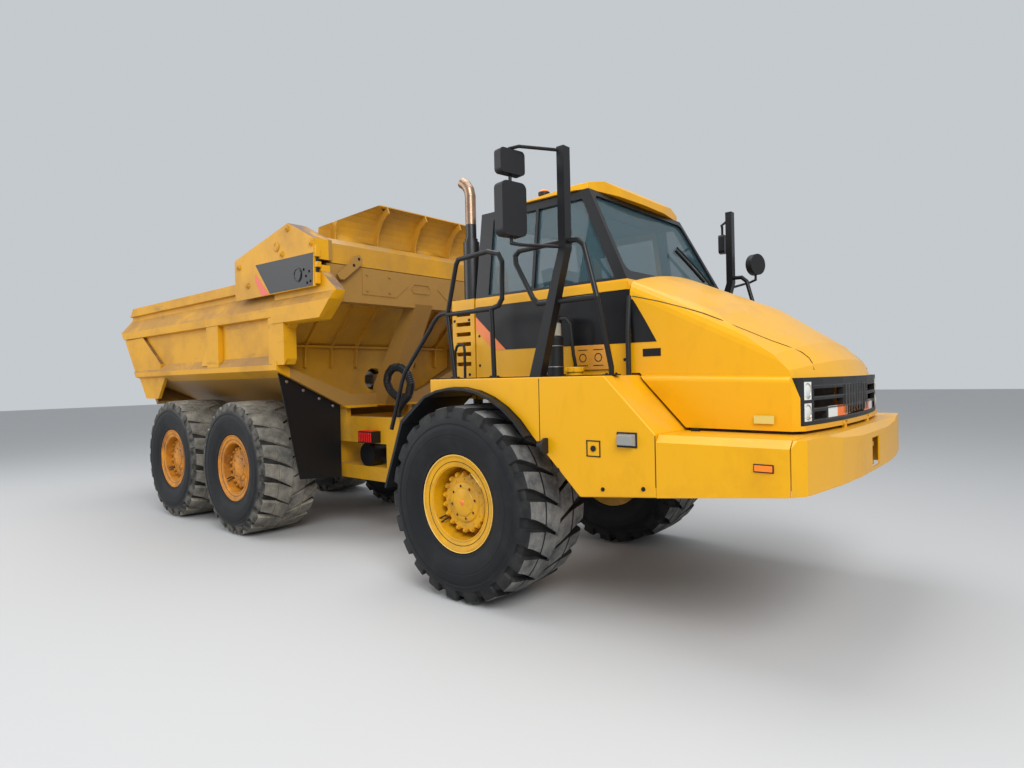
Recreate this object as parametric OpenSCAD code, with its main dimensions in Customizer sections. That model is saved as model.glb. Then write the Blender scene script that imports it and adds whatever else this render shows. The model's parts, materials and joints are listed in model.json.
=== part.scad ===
// Articulated ejector truck: a tractor and a rear half joined by a steering pin and an oscillation
// tube. The load body doesn't tip: a blade on carriages pushes the load out over the tailgate.
// +X is forward, +Y is the driver's left, +Z is up, and the ground is at Z = 0.

/* [Wheels] */
// Outer radius of a tyre over its lugs
tyre_r = 790; // [770:5:810]
// Width of a tyre over its sidewalls
tyre_w = 745; // [720:5:760]
// Height of the lugs
lug_h = 40; // [20:1:50]
// Lugs round a tyre, on each side
lug_count = 18; // [14:1:18]
// Outer radius of a rim flange
flange_r = 393; // [385:1:400]
// Width of a rim over its flanges
rim_w = 600; // [560:10:620]
// Distance between the wheel centres of one axle
track = 2275; // [2250:5:2320]

/* [Layout] */
// Front axle to middle axle
wheelbase = 3780; // [3700:10:3900]
// Middle axle to rear axle
bogie = 1750; // [1700:10:1800]
// Bumper face ahead of the front axle
nose = 2680; // [2650:10:2750]
// Rearmost edge of the body behind the rear axle
tail = 1870; // [1800:10:1900]
// Steering pin behind the front axle
hinge_back = 1450; // [1400:10:1500]
// Height of the oscillation tube
roll_z = 870; // [850:5:890]

/* [Tractor] */
// Outer half width of the fenders and the bumper
fender_y = 1400; // [1380:5:1420]
// Height of the fender decks
deck_z = 1785; // [1760:5:1800]
// Thickness of fender and bumper sheets
sheet = 10; // [6:1:14]
// Height of the bumper's top
bumper_top = 1405; // [1395:5:1415]
// Half width of the cab at its belt line
cab_y = 900; // [880:5:920]
// Height of the cab's belt line
belt_z = 2440; // [2420:5:2460]
// Height of the cab's eaves
eaves_z = 3260; // [3240:5:3280]
// Thickness of the cab's walls and pillars
cab_wall = 60; // [45:1:70]
// Thickness of the hood's skin with its stiffeners
hood_wall = 25; // [18:1:30]
// Thickness of the window glass
glass = 6; // [4:1:8]

/* [Load body] */
// Outer half width of the body's ledges
body_y = 1450; // [1430:5:1465]
// Height of the cap rails
rail_z = 2960; // [2900:5:3000]
// Outer half width of the cap rail
cap_y = 1400; // [1390:5:1410]
// Thickness of the body's side walls
wall = 110; // [90:1:120]
// Thickness of the floor
floor_t = 75; // [60:1:90]
// Height of the body's underside
body_z0 = 1470; // [1460:1:1480]
// Thickness of the tailgate
gate_t = 70; // [50:1:80]
// Half width of the carriages over their outer plates
carriage_y = 1465; // [1460:1:1480]
// Travel of the blade
travel = 3600; // [3400:10:3650]

/* [Hidden] */
$fn = 48;

yellow = "#e8a900";
black = "#1c1c1e";
steel = "#8d9196";
rust = "#c98a1a";
rubber = "#2b2b2c";
glassy = "#9fc4cc";

// Axle and hinge places along the truck, with the middle of its length at X = 0
fx = (wheelbase + bogie + tail - nose) / 2;
mx = fx - wheelbase;
rx = mx - bogie;
hinge_x = fx - hinge_back;
axle_z = tyre_r;
wheel_y = track / 2;
nose_x = fx + nose;
tail_x = rx - tail;

fit = 0.3;
pin_fit = 1;
swing_gap = 6;

// Profiles drawn in X and Z, extruded across the truck from y0 to y1
module across(y0, y1) {
    translate([0, y1, 0]) rotate([90, 0, 0]) linear_extrude(y1 - y0) children();
}

// Profiles drawn in Y and Z, extruded along the truck from x0 to x1
module along(x0, x1) {
    translate([x0, 0, 0]) rotate([90, 0, 90]) linear_extrude(x1 - x0) children();
}

// A child and its mirror image on the other side of the truck
module pair() {
    children();
    mirror([0, 1, 0]) children();
}

// A box from its lowest to its highest corner
module block(lo, hi) {
    translate(lo) cube(hi - lo);
}

// A cylinder along Y, from y0 to y1
module rod_y(x, z, r, y0, y1) {
    translate([x, y1, z]) rotate([90, 0, 0]) cylinder(r = r, h = y1 - y0);
}

// A cylinder along X, from x0 to x1
module rod_x(x0, x1, y, z, r) {
    translate([x0, y, z]) rotate([0, 90, 0]) cylinder(r = r, h = x1 - x0, $fn = r > 1000 ? 360 : $fn);
}

// Points of an arc, from angle a0 to a1 in steps
function arc(c, r, a0, a1, steps) =
    [for (i = [0 : steps]) let (a = a0 + (a1 - a0) * i / steps) c + r * [cos(a), sin(a)]];

function unit(v) = v / norm(v);

// A round bar from a to b
module bar(a, b, r) {
    d = b - a;
    translate(a) rotate([0, acos(d[2] / norm(d)), atan2(d[1], d[0])]) cylinder(r = r, h = norm(d), $fn = 16);
}

// A round pipe along a path, with a bead at each bend
module pipe(path, r) {
    for (i = [0 : len(path) - 2]) bar(path[i], path[i + 1], r);
    for (i = [1 : len(path) - 2]) translate(path[i]) sphere(r = r + 0.6, $fn = 16);
}

// Tyre: a ring of sections; each pitch has a lug between two edges and a groove after it, and the
// lugs slant from the shoulder to the middle of the tread
bead_r = 318;
bead_gap = 2.2;
tread_half = tyre_w / 2 - 42;
lug_slant = 0.5;
module tyre() {
    // Columns: distance from the wheel's middle plane, radius, share of the lug, share of the slant
    side = [
        [rim_w / 2 - 30, bead_r + bead_gap, 0, 0],
        [tyre_w / 2, (bead_r + tyre_r) / 2 - 10, 0, 0],
        [tread_half + 22, tyre_r - lug_h - 55, 0, 0],
        [tread_half, tyre_r - 14, 1, 0],
        [0, tyre_r, 1, 1]
    ];
    half = len(side);
    ring = concat(
        [for (i = [0 : half - 1]) [-side[i][0], side[i][1], side[i][2], side[i][3]]],
        [for (i = [half - 2 : -1 : 0]) side[i]]);
    m = len(ring);
    pitch = 360 / lug_count;
    // Columns: share of the pitch, share of the lug's height
    steps = [[0, 1], [0.55, 1], [0.75, 0]];
    turns = len(steps) * lug_count;
    points = [for (t = [0 : turns - 1]) let (s = steps[t % len(steps)],
            a0 = pitch * (floor(t / len(steps)) + s[0]))
        for (p = ring) let (a = a0 + pitch * lug_slant * p[3],
                r = p[1] - (1 - s[1]) * lug_h * p[2])
            [r * sin(a), p[0], r * cos(a)]];
    quads = [for (t = [0 : turns - 1], k = [0 : m - 1])
        [t * m + k, t * m + (k + 1) % m, ((t + 1) % turns) * m + (k + 1) % m, ((t + 1) % turns) * m + k]];
    tris = [for (q = quads) each [[q[0], q[1], q[2]], [q[0], q[2], q[3]]]];
    color(rubber) polyhedron(points, tris, convexity = 8);
}

// Rim, disc and planetary hub of one wheel; its flanges lean out with the tyre's sidewalls
spindle_r = 110;
hub_face = 75;
module rim(paint) {
    h = rim_w / 2;
    lean = (flange_r - bead_r) * (tyre_w / 2 - h + 30) / ((tyre_r - bead_r) / 2 - 10 - bead_gap);
    color(paint) rotate([-90, 0, 0]) rotate_extrude() union() {
        polygon([
            [bead_r, -h + 29], [flange_r, -h + 27 - lean], [flange_r, -h + 10 - lean], [bead_r - 26, -h],
            [bead_r - 26, 40], [200, 30], [200, -120], [spindle_r + pin_fit, -120],
            [spindle_r + pin_fit, hub_face], [0, hub_face], [0, 252], [85, 252], [95, 240], [95, 214],
            [150, 205], [165, 190], [165, 110], [200, 100], [bead_r - 26, 85],
            [bead_r - 26, h], [flange_r, h - 10 + lean], [flange_r, h - 27 + lean], [bead_r, h - 29]
        ]);
    }
}

module wheel_place(x, side) {
    translate([x, side * wheel_y, axle_z]) mirror([0, side < 0 ? 1 : 0, 0]) children();
}

// Front frame: two rails, and the cross members, outriggers and posts that sit on them
frame_y = 400;
frame_half = 40;
frame_z0 = 960;
frame_z1 = 1240;
plate_t = 60;
fork_y = 230;
fork_top = roll_z + 220;
fork_low = roll_z - 220;
fork_x0 = hinge_x + 280;
fork_x1 = hinge_x + 560;
pin_r = 55;
tow_z = 1200;
tow_r = 26;
tow_x = nose_x - 75;
module front_frame() {
    inner = frame_y - frame_half;
    outer = frame_y + frame_half;
    color(yellow) {
        pair() {
            block([fork_x0, inner, frame_z0], [nose_x - 300, outer, frame_z1]);
            // Outriggers to the fenders, cab posts and cowl posts
            block([fx + 1160, outer + fit, 1030], [fx + 1250, fender_y - sheet - fit, 1110]);
            for (x = [[cowl_x0, 80, cowl_z0], [fx - 150, 120, cab_z0], [fx + 950, 120, cab_z0]])
                block([x[0], inner, frame_z1 + fit], [x[0] + x[1], outer, x[2] - fit]);
            block([nose_x - 220 + fit, 280, 1120], [bumper_inner_x - fit, 380, 1300]);
        }
        block([nose_x - 300 + fit, -700, 1010], [nose_x - 220, 700, 1300]);
        block([fx + 600, fit - inner, frame_z0], [fx + 700, inner - fit, 1000]);
        // Towing jaw behind the slot in the bumper
        for (z = [tow_z - 80, tow_z + 50]) difference() {
            block([nose_x - 220 + fit, -60, z], [nose_x - 25, 60, z + 30]);
            translate([tow_x, 0, z - 1]) cylinder(r = tow_r, h = 32);
        }
    }
}

// Fork between the rails that holds the steering pin, and the clevises of the steering cylinders
module front_fork() {
    inner = frame_y - frame_half - fit;
    color(yellow) difference() {
        union() {
            block([fork_x0, -inner, frame_z0], [fork_x1, inner, frame_z1]);
            block([fork_x0, -fork_y, fork_low - plate_t], [fork_x1, fork_y, frame_z0]);
            for (z = [fork_top, fork_low - plate_t]) translate([0, 0, z]) {
                translate([hinge_x, 0, 0]) cylinder(r = 190, h = plate_t);
                block([hinge_x, -190, 0], [fork_x0, 190, plate_t]);
            }
        }
        translate([hinge_x, 0, fork_low - plate_t - 1]) cylinder(r = pin_r + pin_fit, h = 700);
    }
    color(yellow) pair() translate([steer_a[0], steer_a[1], 0]) {
        for (z = [steer_z + 45, steer_z - 80]) block([-52, -60, z], [90, 50, z + 35]);
        block([64, -60, steer_z - 80], [90, 50, frame_z0 - fit]);
        block([-52, -60, steer_z + 45], [90, 50, frame_z0 - fit]);
        translate([0, 0, steer_z - 60]) cylinder(r = 25, h = 120);
    }
}

// Engine with its gearbox and the cooling pack, as plain blocks on the rails
module engine() {
    inner = frame_y - frame_half - 20;
    color(steel) {
        block([fx + 1340, -inner, 1030], [fx + 1960, inner, 1900]);
        block([fx + 720, -inner, 1030], [fx + 1340, inner, cab_z0 - 20]);
        pair() block([fx + 1400, inner, frame_z1], [fx + 1600, frame_y + frame_half, frame_z1 + 40]);
    }
    color(black) {
        block([fx + 2080, -640, 1330], [fx + 2260, 640, 1830]);
        pair() block([fx + 2120, frame_y - 30, frame_z1], [fx + 2220, frame_y + 30, 1330]);
    }
}

// Axle: tube, differential and spindles
module axle(x) {
    color(yellow) translate([x, 0, axle_z]) {
        rod_y(0, 0, 130, -760, 760);
        rod_y(0, 0, spindle_r, -wheel_y - hub_face + 10, wheel_y + hub_face - 10);
        sphere(r = 215);
        pair() rod_y(0, 0, 165, 640, 760);
    }
}

module front_axle() {
    axle(fx);
    // Spring pads that seat the frame rails on the axle
    color(yellow) pair() block([fx - 90, frame_y - frame_half, axle_z + 100],
        [fx + 90, frame_y + frame_half, frame_z0]);
}

// Side profile of a fender: deck, front slope, lower edge and the arch round the wheel
arch_r = 930;
arch_a0 = 38;
arch_a1 = 112;
slope_top = fx + 1360;
bumper_seam = fx + 1730;
function fender_profile() = concat(
    [[fx - 350, deck_z], [slope_top, deck_z], [bumper_seam, bumper_top + 5],
     [bumper_seam, 1010], [fx + 1150, 955]],
    arc([fx, axle_z], arch_r, arch_a0, arch_a1, 8));

// A hollow fender, open below its arch and on its inner side
module fender_shell() {
    difference() {
        across(cab_y + 5, fender_y) polygon(fender_profile());
        across(cab_y + 4, fender_y - sheet) offset(delta = -sheet) polygon(fender_profile());
    }
}

module fender_right() {
    color(yellow) mirror([0, 1, 0]) fender_shell();
}

// The left fender has the boarding steps between the arch and the bumper, as [height, front end]
step_x0 = fx + 1230;
steps = [[1120, fx + 1640], [1400, fx + 1520]];
module fender_left() {
    color(yellow) {
        difference() {
            fender_shell();
            for (p = steps) block([step_x0, fender_y - 200, p[0]], [p[1], fender_y + 1, p[0] + 180]);
        }
        for (p = steps) difference() {
            block([step_x0 - sheet, fender_y - 210, p[0] - sheet],
                [p[1] + sheet, fender_y - sheet, p[0] + 180 + sheet]);
            block([step_x0, fender_y - 200, p[0]], [p[1], fender_y, p[0] + 180]);
        }
    }
}

// Rubber flares over the front arches
flare_y = 1470;
flare_t = 20;
function flare_profile() = let (r1 = arch_r - fit * 1.1, r0 = r1 - flare_t) concat(
    arc([fx, axle_z], r1, arch_a0, arch_a1, 8),
    [[fx - 660, 1440], [fx - 905, 840], [fx - 885, 830], [fx - 640, 1410]],
    arc([fx, axle_z], r0, arch_a1, arch_a0, 8));
module arch_flares() {
    color(black) pair() across(cab_y + 5, flare_y) polygon(flare_profile());
}

// Bumper: a front section with rounded ends and two side wings, each a shell open below
bumper_split = fx + 2540;
bumper_inner_x = nose_x - sheet;
bumper_edge = 45;
function bumper_plan() = [
    [bumper_seam, -fender_y], [bumper_split, -fender_y], [bumper_split + 60, -fender_y + 100],
    [nose_x - 20, -800], [nose_x, -400], [nose_x, 400], [nose_x - 20, 800],
    [bumper_split + 60, fender_y - 100], [bumper_split, fender_y], [bumper_seam, fender_y]
];
module bumper_form(d) {
    intersection() {
        translate([0, 0, 1000 - 3 * d]) linear_extrude(bumper_top - 1000 + 2 * d) offset(delta = -d)
            polygon(bumper_plan());
        across(-fender_y, fender_y) offset(delta = -d) polygon([
            [bumper_seam - 2 * d, 1010 - 9 * d], [bumper_split, 1095 - 9 * d], [nose_x, 1095 - 9 * d],
            [nose_x, bumper_top - bumper_edge], [nose_x - bumper_edge, bumper_top],
            [bumper_seam - 2 * d, bumper_top]]);
        along(bumper_seam - 1, nose_x + 1) offset(delta = -d) polygon([
            [-fender_y, 900], [-fender_y, bumper_top - bumper_edge], [-fender_y + bumper_edge, bumper_top],
            [fender_y - bumper_edge, bumper_top], [fender_y, bumper_top - bumper_edge], [fender_y, 900]]);
    }
}
module bumper() {
    seam = 3;
    color(yellow) difference() {
        bumper_form(0);
        bumper_form(sheet);
        // Room for the engine's cooling pack and the frame under the hood
        block([bumper_seam - 1, -cab_y, 900], [nose_x - 240, cab_y, bumper_top + 1]);
        // Towing slot
        block([nose_x - 100, -110, 1120], [nose_x + 1, 110, 1320]);
        pair() block([bumper_split - seam, -fender_y - 1, 900], [bumper_split + seam, -cab_y, bumper_top + 1]);
        block([bumper_seam - 1, -fender_y - 1, 900], [bumper_seam + seam, fender_y + 1, bumper_top + 1]);
    }
    // Hinge posts and pins that carry the hood
    color(steel) pair() {
        block([hood_pin_x - 9, 300, bumper_top - 1], [hood_pin_x + 9, 345, hood_pin_z]);
        rod_y(hood_pin_x, hood_pin_z, hood_pin_r, 300, 395);
    }
}

// Cab: a side profile and a front profile with leaning sides, both moved inward by d
cab_x0 = fx - 280;
cab_x1 = fx + 1285;
cab_z0 = 1600;
cab_split = belt_z + 55;
header_x = fx + 870;
roof_y = 790;
module cab_form(d) {
    intersection() {
        across(-1000, 1000) offset(delta = -d) polygon([
            [cab_x0, cab_z0], [cab_x1, cab_z0], [cab_x1, belt_z], [header_x, eaves_z], [cab_x0, eaves_z]]);
        along(cab_x0 - 100, cab_x1 + 100) offset(delta = -d) polygon([
            [-cab_y, cab_z0], [cab_y, cab_z0], [cab_y, belt_z], [roof_y, eaves_z],
            [-roof_y, eaves_z], [-cab_y, belt_z]]);
    }
}

// Window openings in the cab, as prisms through its walls
door_x0 = fx - 130;
door_x1 = fx + 690;
door_pin = [fx - 165, cab_y + 22];
door_pin_r = 9;
door_z0 = 1810;
win_low = cab_split + 20;
win_top = eaves_z - 75;
pillar_slope = (cab_x1 - header_x) / (eaves_z - belt_z);
function pillar_x(z) = cab_x1 - (z - belt_z) * pillar_slope;
module side_windows(y0, y1) {
    across(y0, y1) polygon([
        [door_x0, win_low], [fx + 352, win_low], [fx + 352, win_top], [door_x0, win_top]]);
    across(y0, y1) polygon([
        [fx + 380, win_low], [pillar_x(win_low) - 95, win_low], [pillar_x(win_top) - 95, win_top],
        [fx + 380, win_top]]);
}
module end_windows() {
    along(cab_x1 - 700, cab_x1 + 50) offset(r = 60, $fn = 24) offset(delta = -60) polygon([
        [-cab_y + 70, belt_z + 130], [cab_y - 70, belt_z + 130], [roof_y - 40, eaves_z - 50],
        [-roof_y + 40, eaves_z - 50]]);
    along(cab_x0 - 50, cab_x0 + 120) polygon([
        [-cab_y + 120, belt_z + 80], [cab_y - 120, belt_z + 80], [roof_y - 120, win_top],
        [-roof_y + 120, win_top]]);
}
module quarter_window() {
    across(cab_y - 200, cab_y + 50) polygon([
        [door_x1 + 60, win_low], [pillar_x(win_low) - 95, win_low], [pillar_x(win_top) - 95, win_top],
        [door_x1 + 30, win_top]]);
}
module door_hole(d) {
    across(cab_y - 200, cab_y + 50) offset(delta = d) polygon([
        [door_x0, door_z0], [door_x1, door_z0], [door_x1, belt_z],
        [door_x1 - 60, win_top + 15], [door_x0, win_top + 15]]);
}
module cab_slice(z0, z1) {
    intersection() {
        difference() {
            cab_form(0);
            cab_form(cab_wall);
        }
        block([cab_x0 - 1, -1000, z0], [cab_x1 + 1, 1000, z1]);
    }
}

// Lower cab: closed walls up to the windows, with the floor
module cab_shell() {
    color(yellow) {
        difference() {
            union() {
                cab_slice(cab_z0, cab_split - fit);
                block([cab_x0 + 30, -cab_y + 30, deck_z - 60], [cab_x1 - 30, cab_y - 30, deck_z]);
                // Belt moulding
                pair() block([cab_x0 + 10, cab_y - 20, belt_z - 25], [cab_x1 - 20, cab_y + 10, belt_z + 35]);
            }
            door_hole(0);
        }
        // Hinge posts and pins of the door
        for (z = [1980, 2300]) {
            block([door_pin[0] - 14, cab_y - 1, z], [door_pin[0] + 9, door_pin[1], z + 18]);
            translate([door_pin[0], door_pin[1], z]) cylinder(r = door_pin_r, h = 90);
        }
    }
}

// Upper cab: pillars and window frames
module cab_frame() {
    color(black) difference() {
        cab_slice(cab_split, eaves_z);
        side_windows(-cab_y - 50, -cab_y + 250);
        end_windows();
        door_hole(0);
        quarter_window();
    }
}

// Roof: crowned across, higher at its front edge, with a bowed front
roof_tilt = 3;
module cab_roof() {
    color(yellow) intersection() {
        translate([0, 0, eaves_z + fit]) linear_extrude(200)
            polygon([
                [cab_x0 - 45, -roof_y + 120], [cab_x0 + 20, -roof_y + 15], [cab_x0 + 100, -roof_y - 25],
                [header_x - 120, -roof_y - 25], [header_x - 20, -roof_y + 20], [header_x + 45, -400],
                [header_x + 60, 0], [header_x + 45, 400], [header_x - 20, roof_y - 20],
                [header_x - 120, roof_y + 25], [cab_x0 + 100, roof_y + 25], [cab_x0 + 20, roof_y - 15],
                [cab_x0 - 45, roof_y - 120]]);
        translate([header_x, 0, eaves_z + 140]) rotate([0, 90 - roof_tilt, 0])
            translate([3600, 0, -2000]) cylinder(r = 3600, h = 2500, $fn = 720);
        across(-cab_y, cab_y) polygon([
            [cab_x0 - 45, eaves_z], [cab_x0 - 45, eaves_z + 30], [cab_x0 + 40, eaves_z + 90],
            [header_x - 80, eaves_z + 160], [header_x + 60, eaves_z + 60], [header_x + 60, eaves_z]]);
    }
}

// Panes between two depths in the walls, cut by the same prisms as the openings
module pane_layer(d) {
    difference() {
        cab_form(d);
        cab_form(d + glass);
    }
}
module cab_windows() {
    color(glassy) {
        intersection() {
            pane_layer(20);
            side_windows(-cab_y - 50, -cab_y + 250);
        }
        intersection() {
            pane_layer(20);
            end_windows();
        }
        intersection() {
            pane_layer(20);
            quarter_window();
        }
    }
}

// Seat on its column
module seat() {
    z = deck_z + fit;
    x = fx + 330;
    color(black) {
        block([x - 150, -150, z], [x + 200, 150, z + 260]);
        block([x - 250, -260, z + 260], [x + 280, 260, z + 390]);
        translate([x - 250, 0, z + 390]) rotate([0, -10, 0]) block([-10, -250, -30], [110, 250, 620]);
        pair() block([x - 180, 275, z + 470], [x + 170, 335, z + 520]);
        pair() block([x - 150, 240, z + 300], [x - 90, 300, z + 480]);
    }
}

// Dash, steering column and wheel
module dash() {
    color(black) {
        across(-cab_y + cab_wall + 8, cab_y - cab_wall - 8) polygon([
            [cab_x1 - cab_wall - fit, deck_z + fit], [cab_x1 - cab_wall - fit, belt_z - 30],
            [cab_x1 - 200, belt_z - 10], [cab_x1 - 330, belt_z - 40], [cab_x1 - 280, deck_z + fit]]);
        translate([cab_x1 - 310, 0, belt_z - 150]) rotate([0, -50, 0]) {
            cylinder(r = 45, h = 190);
            translate([0, 0, 180]) difference() {
                cylinder(r = 215, h = 32);
                translate([0, 0, -1]) cylinder(r = 180, h = 40);
            }
            translate([0, 0, 180]) {
                for (a = [90, 210, 330]) rotate([0, 0, a]) block([0, -18, 6], [190, 18, 26]);
                cylinder(r = 60, h = 32);
            }
        }
    }
}

// Exhaust: a wide silencer, and a thinner stack that bends back at its tip
stack_x = fx - 410;
stack_y = -800;
stack_r = 49;
cowl_top = 2500;
module exhaust() {
    function stack(z, reach) = [[0, 0, z], [0, 0, 950], [-14, 0, 1010], [-50, 0, 1060],
        [-50, 0, 1060] + unit([-48, 0, 35]) * reach];
    color(steel) translate([stack_x, stack_y, cowl_top]) difference() {
        union() {
            cylinder(r = 74, h = 530);
            cylinder(r = 60, h = 560);
            pipe(stack(500, 60), stack_r);
        }
        pipe(stack(700, 90), stack_r - 7);
    }
}

// Cowl behind the cab, louvred on both sides
cowl_x0 = fx - 580;
cowl_x1 = cab_x0 - 20;
cowl_z0 = deck_z - 180;
module cowl() {
    color(yellow) difference() {
        block([cowl_x0, -cab_y, cowl_z0], [cowl_x1, cab_y, cowl_top - fit]);
        block([cowl_x0 + 20, -cab_y + 20, cowl_z0 - 1], [cowl_x1 - 20, cab_y - 20, cowl_top - 20]);
        for (i = [0 : 5]) block([cowl_x0 + 50, -cab_y - 1, 1900 + i * 90],
            [cowl_x1 - 50, cab_y + 1, 1935 + i * 90]);
    }
}

// Handrails and grab loops in round tube
rail_y = 1330;
tube_r = 19;
function corner(p, a, b, r) = [p + unit(a - p) * r, p + (unit(a - p) + unit(b - p)) * r * 0.3, p + unit(b - p) * r];
function loop_path(x0, x1, y, top, foot, r) = concat(
    [[x0, y, foot]],
    corner([x0, y, top], [x0, y, foot], [x1, y, top], r),
    corner([x1, y, top], [x0, y, top], [x1, y, foot], r),
    [[x1, y, foot]]);
module front_rail(dx) {
    y = -rail_y;
    pipe([[fx + 1335, y + 72, deck_z - 10], [fx + 1335, y + 72, deck_z + 60], [fx + 1278 + dx, y, 2322],
        [fx + 1180 + dx, y, 2690], [fx + 1130 + dx, y, 2735], [post_knee[0] + dx, y, 2738]], tube_r);
    bar([fx + 1278 + dx, y, 2322], [post_x(2322) + dx, y, 2322], tube_r);
}
module handrails() {
    foot = deck_z - 10;
    y = -rail_y;
    color(black) difference() {
        union() {
            // Rear loop with its bar, on the near side only
            pipe([[fx - 114, y, foot], [fx - 190, y, 2320], [fx - 75, y, 2720], [fx - 48, y, 2757],
                [fx + 276, y, 2775], [fx + 390, y, 2740], [fx + 426, y, 2677], [fx + 417, y, 2393],
                [fx + 380, y, 2345], [fx + 300, y, 2325], [fx - 190, y, 2320]], tube_r);
            bar([fx + 320, y, foot], [fx + 305, y, 2325], tube_r);
            pipe(loop_path(fx - 330, fx - 170, rail_y, 2800, foot, 60), tube_r);
            // Front loops, from the deck over to the mirror posts, with a bar at half height
            front_rail(0);
            mirror([0, 1, 0]) front_rail(far_dx);
            // Loop behind the near post
            pipe([[post_x(2740), y, 2740], [fx + 600, y, 2732], [fx + 560, y, 2700], [fx + 565, y, 2640],
                [fx + 721, y, 2368], [fx + 770, y, 2322], [post_x(2322), y, 2322]], tube_r);
        }
        mirror_post(fit);
        translate([far_dx, 0, 0]) mirror([0, 1, 0]) mirror_post(fit);
        block([cab_x0 - 200, -fender_y, deck_z - 60], [slope_top, fender_y, deck_z + fit]);
    }
}

// Mirror posts: square tube that leans forward to a knee and stands upright above it
post_y = 1330;
post_knee = [fx + 1010, 2690];
post_foot = fx + 750;
post_top = 3400;
mirror_x = fx + 790;
mirror_y = 1640;
far_dx = 130;
round_r = 108;
round_at = [fx + 1288, mirror_y + 1, 2894];
small_at = [fx + 1010, 1480, 3120];
function post_x(z) = post_foot + (post_knee[0] - post_foot) * min(1, (z - deck_z) / (post_knee[1] - deck_z));
module mirror_post(d) {
    across(-post_y - 38 - d, -post_y + 38 + d) offset(delta = d) polygon([
        [post_foot - 50, deck_z + fit], [post_foot + 50, deck_z + fit],
        [post_knee[0] + 42, post_knee[1]], [post_knee[0] + 42, post_top],
        [post_knee[0] - 20, post_top], [post_knee[0] - 20, post_knee[1]]]);
}
module mirror_posts() {
    color(black) {
        mirror_post(0);
        translate([far_dx, 0, 0]) mirror([0, 1, 0]) mirror_post(0);
        // Arms of the near mirrors
        pipe([[post_knee[0], -post_y, post_top - 20], [mirror_x + 60, -mirror_y + 30, post_top - 24],
            [mirror_x, -mirror_y, post_top - 32], [mirror_x, -mirror_y, square_z + 84.5]], 12);
        bar([mirror_x, -mirror_y, mirror_z + 186], [mirror_x, -mirror_y, square_z - 84.5], 12);
        pipe([[post_knee[0], -post_y, 2700], [mirror_x + 50, -mirror_y + 30, 2702],
            [mirror_x, -mirror_y, 2715], [mirror_x, -mirror_y, mirror_z - 186]], 12);
        // Arms of the far mirrors
        pipe([[post_knee[0] + far_dx, post_y, 2640], [round_at[0] - 60, round_at[1], 2718],
            [round_at[0], round_at[1], 2739], round_at - [0, 0, round_r + fit]], 12);
        pipe([[post_knee[0] + far_dx, post_y, 3330], small_at + [0, -15, 195], small_at + [0, 0, 180],
            small_at + [0, 0, 95 + fit]], 12);
    }
}

// Mirror heads: a square convex one over a tall flat one on the near side, a flat and a round one
// on the far side
mirror_z = post_top - 455;
square_z = post_top - 130;
module mirrors() {
    color(black) {
        translate([mirror_x, -mirror_y, 0]) rotate([0, 0, -10]) {
            translate([0, 0, square_z]) along(-35, 35) offset(r = 30, $fn = 24) square([157, 108], center = true);
            translate([0, 0, mirror_z]) along(-45, 45) offset(r = 45, $fn = 24) square([127, 281], center = true);
        }
        translate(small_at) rotate([0, 0, 10]) along(-30, 30) offset(r = 30, $fn = 24) square([60, 130], center = true);
        translate(round_at) rotate([0, 0, -20]) rod_x(-35, 35, 0, 0, round_r);
    }
}

// Hood: a bowed plan, leaning crowns that follow each other down to the nose, and two rounded
// flanks over prouder lower panels, all moved inward by d
hood_z0 = 1425;
hood_x0 = cab_x1 + 15;
hood_front = fx + 2575;
hood_pin_x = hood_front - 16;
hood_pin_z = 1436;
hood_pin_r = 8;
crown_r = 3900;
hood_taper = 3.4;
crease_z = 1760;
crown_line = [[1300, 2580], [1960, 2290], [2410, 1985], [2530, 1860], [2575, 1740]];
module crown(a, b, d) {
    slope = atan2(a[1] - b[1], b[0] - a[0]);
    translate([fx + a[0], 0, a[1]]) rotate([0, 90 + slope, 0])
        translate([crown_r, 0, -3500]) cylinder(r = crown_r - d, h = 7000, $fn = 180);
}
module hood_plan(d) {
    offset(delta = -d) polygon([
        [hood_x0 - d * 2, -1150], [hood_front - 220, -1150], [hood_front - 135, -1040],
        [hood_front - 75, -980], [hood_front - 35, -700], [hood_front - 5, -350], [hood_front, 0],
        [hood_front - 5, 350], [hood_front - 35, 700], [hood_front - 75, 980],
        [hood_front - 135, 1040], [hood_front - 220, 1150], [hood_x0 - d * 2, 1150]]);
}
// The space between two flanks: a rounded edge over a wall that widens to the nose
module flanks(y, z, slope, edge, d) {
    intersection() {
        flank(y, z, slope, edge, d);
        mirror([0, 1, 0]) flank(y, z, slope, edge, d);
    }
}
module flank(y, z, slope, edge, d) {
    translate([hood_x0, y, z]) rotate([0, 0, hood_taper]) rotate([0, slope, 0])
        along(-900, 2600) offset(r = edge, $fn = 24) offset(delta = -edge - d)
        polygon([[-3000, -3000], [0, -3000], [0, 0], [-3000, 420]]);
}
module hood_form(d) {
    intersection() {
        translate([0, 0, hood_z0 - d]) linear_extrude(1300) hood_plan(d);
        union() {
            flanks(cab_y + 30, 2480, 26, 120, d);
            intersection() {
                flanks(cab_y + 70, crease_z + 20, 1.5, 40, d);
                block([hood_x0 - 1, -1300, hood_z0 - d - 1], [nose_x, 1300, crease_z + 20 - d]);
            }
        }
        crown(crown_line[0], crown_line[1], d);
        crown(crown_line[1], crown_line[2], d);
        crown(crown_line[2], crown_line[3], d);
        crown(crown_line[3], crown_line[4], d);
        across(-1300, 1300) polygon([
            [hood_x0, 2700], [hood_x0, deck_z + 15], [hood_x0 + 60, deck_z + 15], [fx + 1370, deck_z + 15],
            [fx + 1745, hood_z0], [nose_x, hood_z0], [nose_x, 2700]]);
    }
}
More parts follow.
